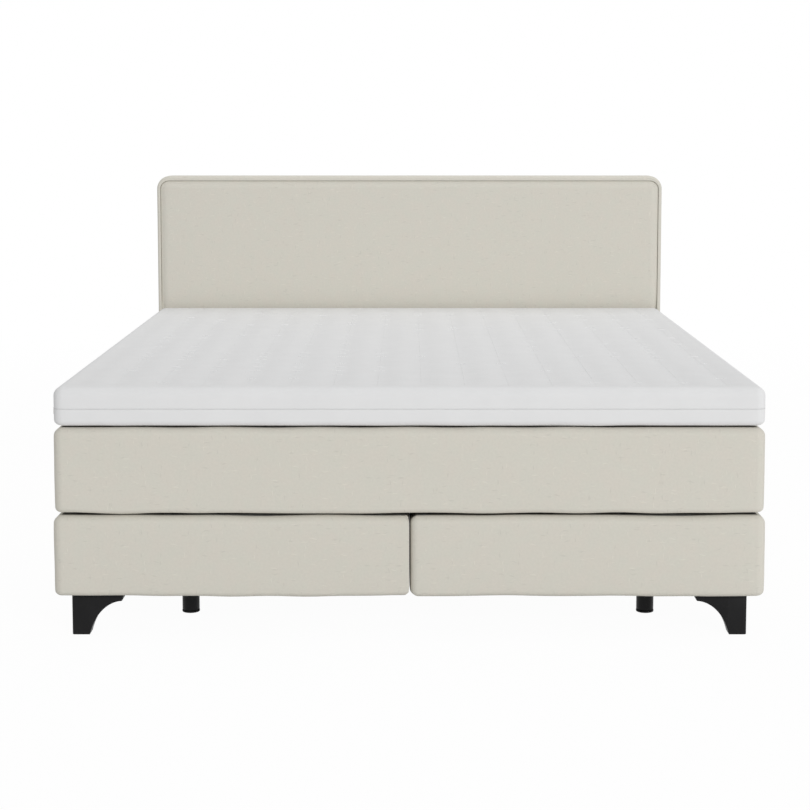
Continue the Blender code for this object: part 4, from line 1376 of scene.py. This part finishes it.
def pocket_springs(cloth):
    """Blocks of pocket springs: rows of barrel-shaped pockets of spunbond cloth."""
    made = Pattern("pocket_springs", radius=0.03, height=0.1, waist=0.1)
    values = {"Vertices": 12, "Side Segments": 4, "Fill Segments": 1}
    values |= {"Radius": made.value("radius"), "Depth": made.value("height")}
    pocket = made.add("GeometryNodeMeshCylinder", values)
    x, y, z = made.apart(made.add("GeometryNodeInputPosition"))
    level = (z * 2.0) / made.value("height")
    pinch = (level * level) * (level * level) * made.value("waist")
    shrink = made.add("ShaderNodeCombineXYZ", {0: x * pinch * -1.0, 1: y * pinch * -1.0})
    pocket = made.add("GeometryNodeSetPosition", {"Geometry": pocket, "Offset": shrink})
    points = made.add("GeometryNodeMeshToPoints", {"Mesh": made.value("Geometry")})
    made.close(points, pocket, (0.0, 0.0, 0.0))
    for block, body, pitch in (
        ("left_box", "bed_base", 0.095), ("right_box", "bed_base", 0.095), ("mattress", "mattress", 0.078)
    ):
        low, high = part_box(block + "_spring_core")
        width, length, middle_z = high.x - low.x, high.y - low.y, (low.z + high.z) / 2
        across, along = round(width / pitch), round(length / pitch)
        guide = bpy.data.meshes.new("guide")
        guide.from_pydata([
            (low.x + width * (i + 0.5) / across, low.y + length * (j + 0.5) / along, middle_z)
            for i in range(across) for j in range(along)
        ], [], [])
        radius = min(width / across, length / along) / 2 - spring_gap
        sizes = {"radius": radius, "height": high.z - low.z - spring_gap, "waist": pocket_waist}
        core = made.grow(block + "_pocket_springs", guide, cloth, **sizes)
        core.data.shade_smooth()
        core.data.set_sharp_from_angle(angle=math.radians(50))
        finish_piece(core, body, "spring_pockets", block + "_spring_core")


def foam_block(name, node, body, material, corners, edges, fill, tunnel=()):
    """A cut foam block: its lower and upper edges rounded, its faces slightly uneven.

    tunnel holds (inset, height) pairs of a hollow below, from its ceiling down to the underside.
    """
    low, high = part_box(node)
    if node.startswith("headboard"):
        up, start, end = 2, 0.0, high.y - low.y
        put = upright(high.y, (high.z + low.z) / 2)
    else:
        up, start, end = 1, low.z, high.z
        put = lying(*middle_of(node))
    rim = rim_round(low, high, *corners, up=up)

    def sway(s, inset, z, outward, spot):
        return (-0.0004 - 0.0003 * wave(61.0, (s, z), 0.12), 0.0) if inset < 0.02 else (0.0, 0.0)

    profile = list(tunnel) or [(foam_cap, start)]
    profile += quarter(0.0, start + edges[0], edges[0], -90, 0, 6)
    profile += quarter(0.0, end - edges[1], edges[1], 0, 90, 6)
    profile += [(foam_cap, end)]
    sewing = Sewing()
    rings = sew_rings(sewing, rim, profile, put, sway)
    sewing.face(rings[0])
    sewing.face(rings[-1])
    sewing.fit(name, material, body, "foam", node, fill=fill, sharp=55)


def inner_foams(yellow, blue):
    """Foam inside the covers: pads, edge foam, topper core, headboard padding and box wraps."""
    for name, node, body, corners, edges, fill in (
        ("mattress_upper_pad", "mattress_top_pad", "mattress", (0.020,), (0.004, 0.017), 0.8),
        ("mattress_lower_pad", "mattress_bottom_pad", "mattress", (0.020,), (0.012, 0.004), 0.8),
        ("topper_comfort_foam", "topper_foam_core", "topper", (0.018,), (0.016, 0.016), 0.75),
        ("headboard_padding", "headboard_foam", "bed_base", (0.003, 0.003, 0.03, 0.03),
         (0.003, 0.003), 0.85),
    ):
        foam_block(name, node, body, yellow, corners, edges, fill)
    for side in ("left", "right"):
        box = side + "_box_"
        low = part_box(box + "foam_wrap")[0]
        (springs, ceiling), (rails, shelf) = (
            (inner[0].y - low.y - clearance, inner[1].z + clearance)
            for inner in (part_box(box + "spring_core"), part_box(box + "foot_rail"))
        )
        tunnel = [(springs, ceiling), (springs, shelf), (rails, shelf), (rails, low.z)]
        names = (box + "padding", box + "foam_wrap", "bed_base")
        foam_block(*names, yellow, (0.018,), (0.013, 0.016), 0.85, tunnel)
    low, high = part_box("mattress_border_foam")
    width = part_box("mattress_spring_core")[0].x - low.x - clearance
    rim = rim_round(low, high, 0.018)
    bottom, top = low.z + clearance, high.z - clearance
    profile = [(width, bottom), (0.003, bottom), (0.0, bottom + 0.003)]
    profile += [(0.0, top - 0.003), (0.003, top), (width, top)]
    sewing = Sewing()
    sew_rings(sewing, rim, profile, lying(*middle_of("mattress_border_foam")), loop=True)
    sewing.fit(
        "mattress_edge_foam", blue, "mattress", "foam", "mattress_border_foam", fill=0.9, sharp=55,
    )


def studio():
    """Camera, lamps, pale floor and white surroundings."""
    scene = bpy.context.scene
    eye = placed("camera", bpy.data.cameras.new("camera"))
    eye.location = camera_place
    eye.rotation_euler = (math.radians(90 - camera_dip), 0.0, 0.0)
    eye.data.lens = camera_lens
    eye.data.shift_x, eye.data.shift_y = camera_shift
    eye.data.clip_end = 200.0
    scene.camera = eye
    scene.view_settings.view_transform = "Standard"

    for name, place, aim, size, power in (
        ("key_lamp", (13.9, -23.6, 10.2), (0.0, 0.0, 0.3), 5.2, 3060.0),
        ("top_lamp", (0.3, 1.3, 4.6), (0.1, 0.2, 0.5), 2.6, 38.0),
    ):
        data = bpy.data.lights.new(name, "AREA")
        data.size = size
        data.energy = power
        lamp = placed(name, data)
        lamp.location = place
        lamp.rotation_euler = (Vector(aim) - Vector(place)).to_track_quat("-Z", "Y").to_euler()

    world = bpy.data.worlds.new("surroundings")
    scene.world = world
    world.use_nodes = True
    sky = Net(world.node_tree)
    white = (1.0, 1.0, 1.0, 1.0)
    lit = sky.add("ShaderNodeBackground", {"Color": white, "Strength": 0.530})
    plain = sky.add("ShaderNodeBackground", {"Color": white, "Strength": 1.0})
    choice = sky.add("ShaderNodeMixShader", {0: sky.seen_directly(), 1: lit, 2: plain})
    sky.join(choice, sky.tree.nodes["World Output"].inputs[0])
    pale_floor()


def pale_floor():
    """A large pale floor that turns plain white away from the bed and keeps its shadow."""
    mesh = bpy.data.meshes.new("floor")
    reach = 40.0
    corners = [(-reach, -reach, 0), (reach, -reach, 0), (reach, reach, 0), (-reach, reach, 0)]
    mesh.from_pydata(corners, [], [(0, 1, 2, 3)])
    floor = placed("floor", mesh)
    floor.location.z = -0.0005
    made = Finish("pale_floor", (0.9, 0.9, 0.9), 1.0)
    distance = made.add("ShaderNodeVectorMath", {0: made.place()}, output=1, operation="LENGTH")
    whiteness = made.remap(distance, 2.5, 6.0, 0.970, 1.0)
    glow = made.add("ShaderNodeEmission")
    dull = made.add("ShaderNodeBsdfDiffuse", {"Color": (0.9, 0.9, 0.9, 1.0)})
    mix = made.add("ShaderNodeMixShader", {0: made.seen_directly() * whiteness, 1: dull, 2: glow})
    made.tree.nodes.remove(made.shader)
    made.join(mix, made.tree.nodes["Material Output"].inputs[0])
    mesh.materials.append(made.material)


def dress(nodes, material):
    """Gives carried-over nodes of the frame their material."""
    for name in nodes:
        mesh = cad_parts[name].data
        mesh.materials.clear()
        mesh.materials.append(material)


def main():
    studio()
    cloth = upholstery()
    white_thread = thread("white_thread", (0.78, 0.78, 0.78))
    black_lining_and_split_shade = nonwoven("black_spunbond", (0.030, 0.030, 0.032))
    zinc = metal("zinc_plate", (0.62, 0.62, 0.63), 0.35)
    nickel = metal("bolt_plating", (0.70, 0.69, 0.66), 0.25)
    block_covers(cloth)
    topper_covers(ticking())
    zip_pieces(ribbon("white_zip_tape", (0.79, 0.79, 0.79)), white_thread, nickel)
    # The tacks' thread is paler than the quilting thread: partly white thread, partly painted highlight
    # for the light that their tufts catch
    quilting(white_thread, thread("bright_thread", (0.88, 0.88, 0.88)))
    headboard_pieces(cloth)
    cloth_panels(black_lining_and_split_shade, nonwoven("grey_grip_cloth", (0.12, 0.12, 0.12), 0.006))
    staples(nickel)
    pocket_springs(nonwoven("white_spunbond", (0.80, 0.80, 0.79)))
    inner_foams(foam("yellow_foam", (0.86, 0.80, 0.60)), foam("edge_foam", (0.62, 0.70, 0.80)))

    long_grain = timber("spruce_lengthwise", (0.66, 0.47, 0.28), 1)
    cross_grain = timber("spruce_crosswise", (0.66, 0.47, 0.28), 0)
    leg_black = moulded("black_leg_plastic", leg_colour, 0.42)
    glide_black = moulded("black_glide_plastic", (0.010, 0.010, 0.010), 0.6)
    for side in ("left", "right"):
        box = side + "_box_"
        dress([box + "outer_rail", box + "inner_rail"], long_grain)
        dress([box + "foot_rail", box + "head_rail", box + "plank_deck"], cross_grain)
        bent_bracket(side, zinc)
        hexagon_bolt(side + "_bracket_box_bolt", nickel, True)
        hexagon_bolt(side + "_bracket_headboard_bolt", nickel, False)
        for end in ("front", "rear"):
            corner_leg(side, end, leg_black)
        for end in ("front", "middle", "rear"):
            support_leg(side, end, leg_black, glide_black)
    dress(["box_coupler"], zinc)
    dress(["headboard_board"], cross_grain)


main()
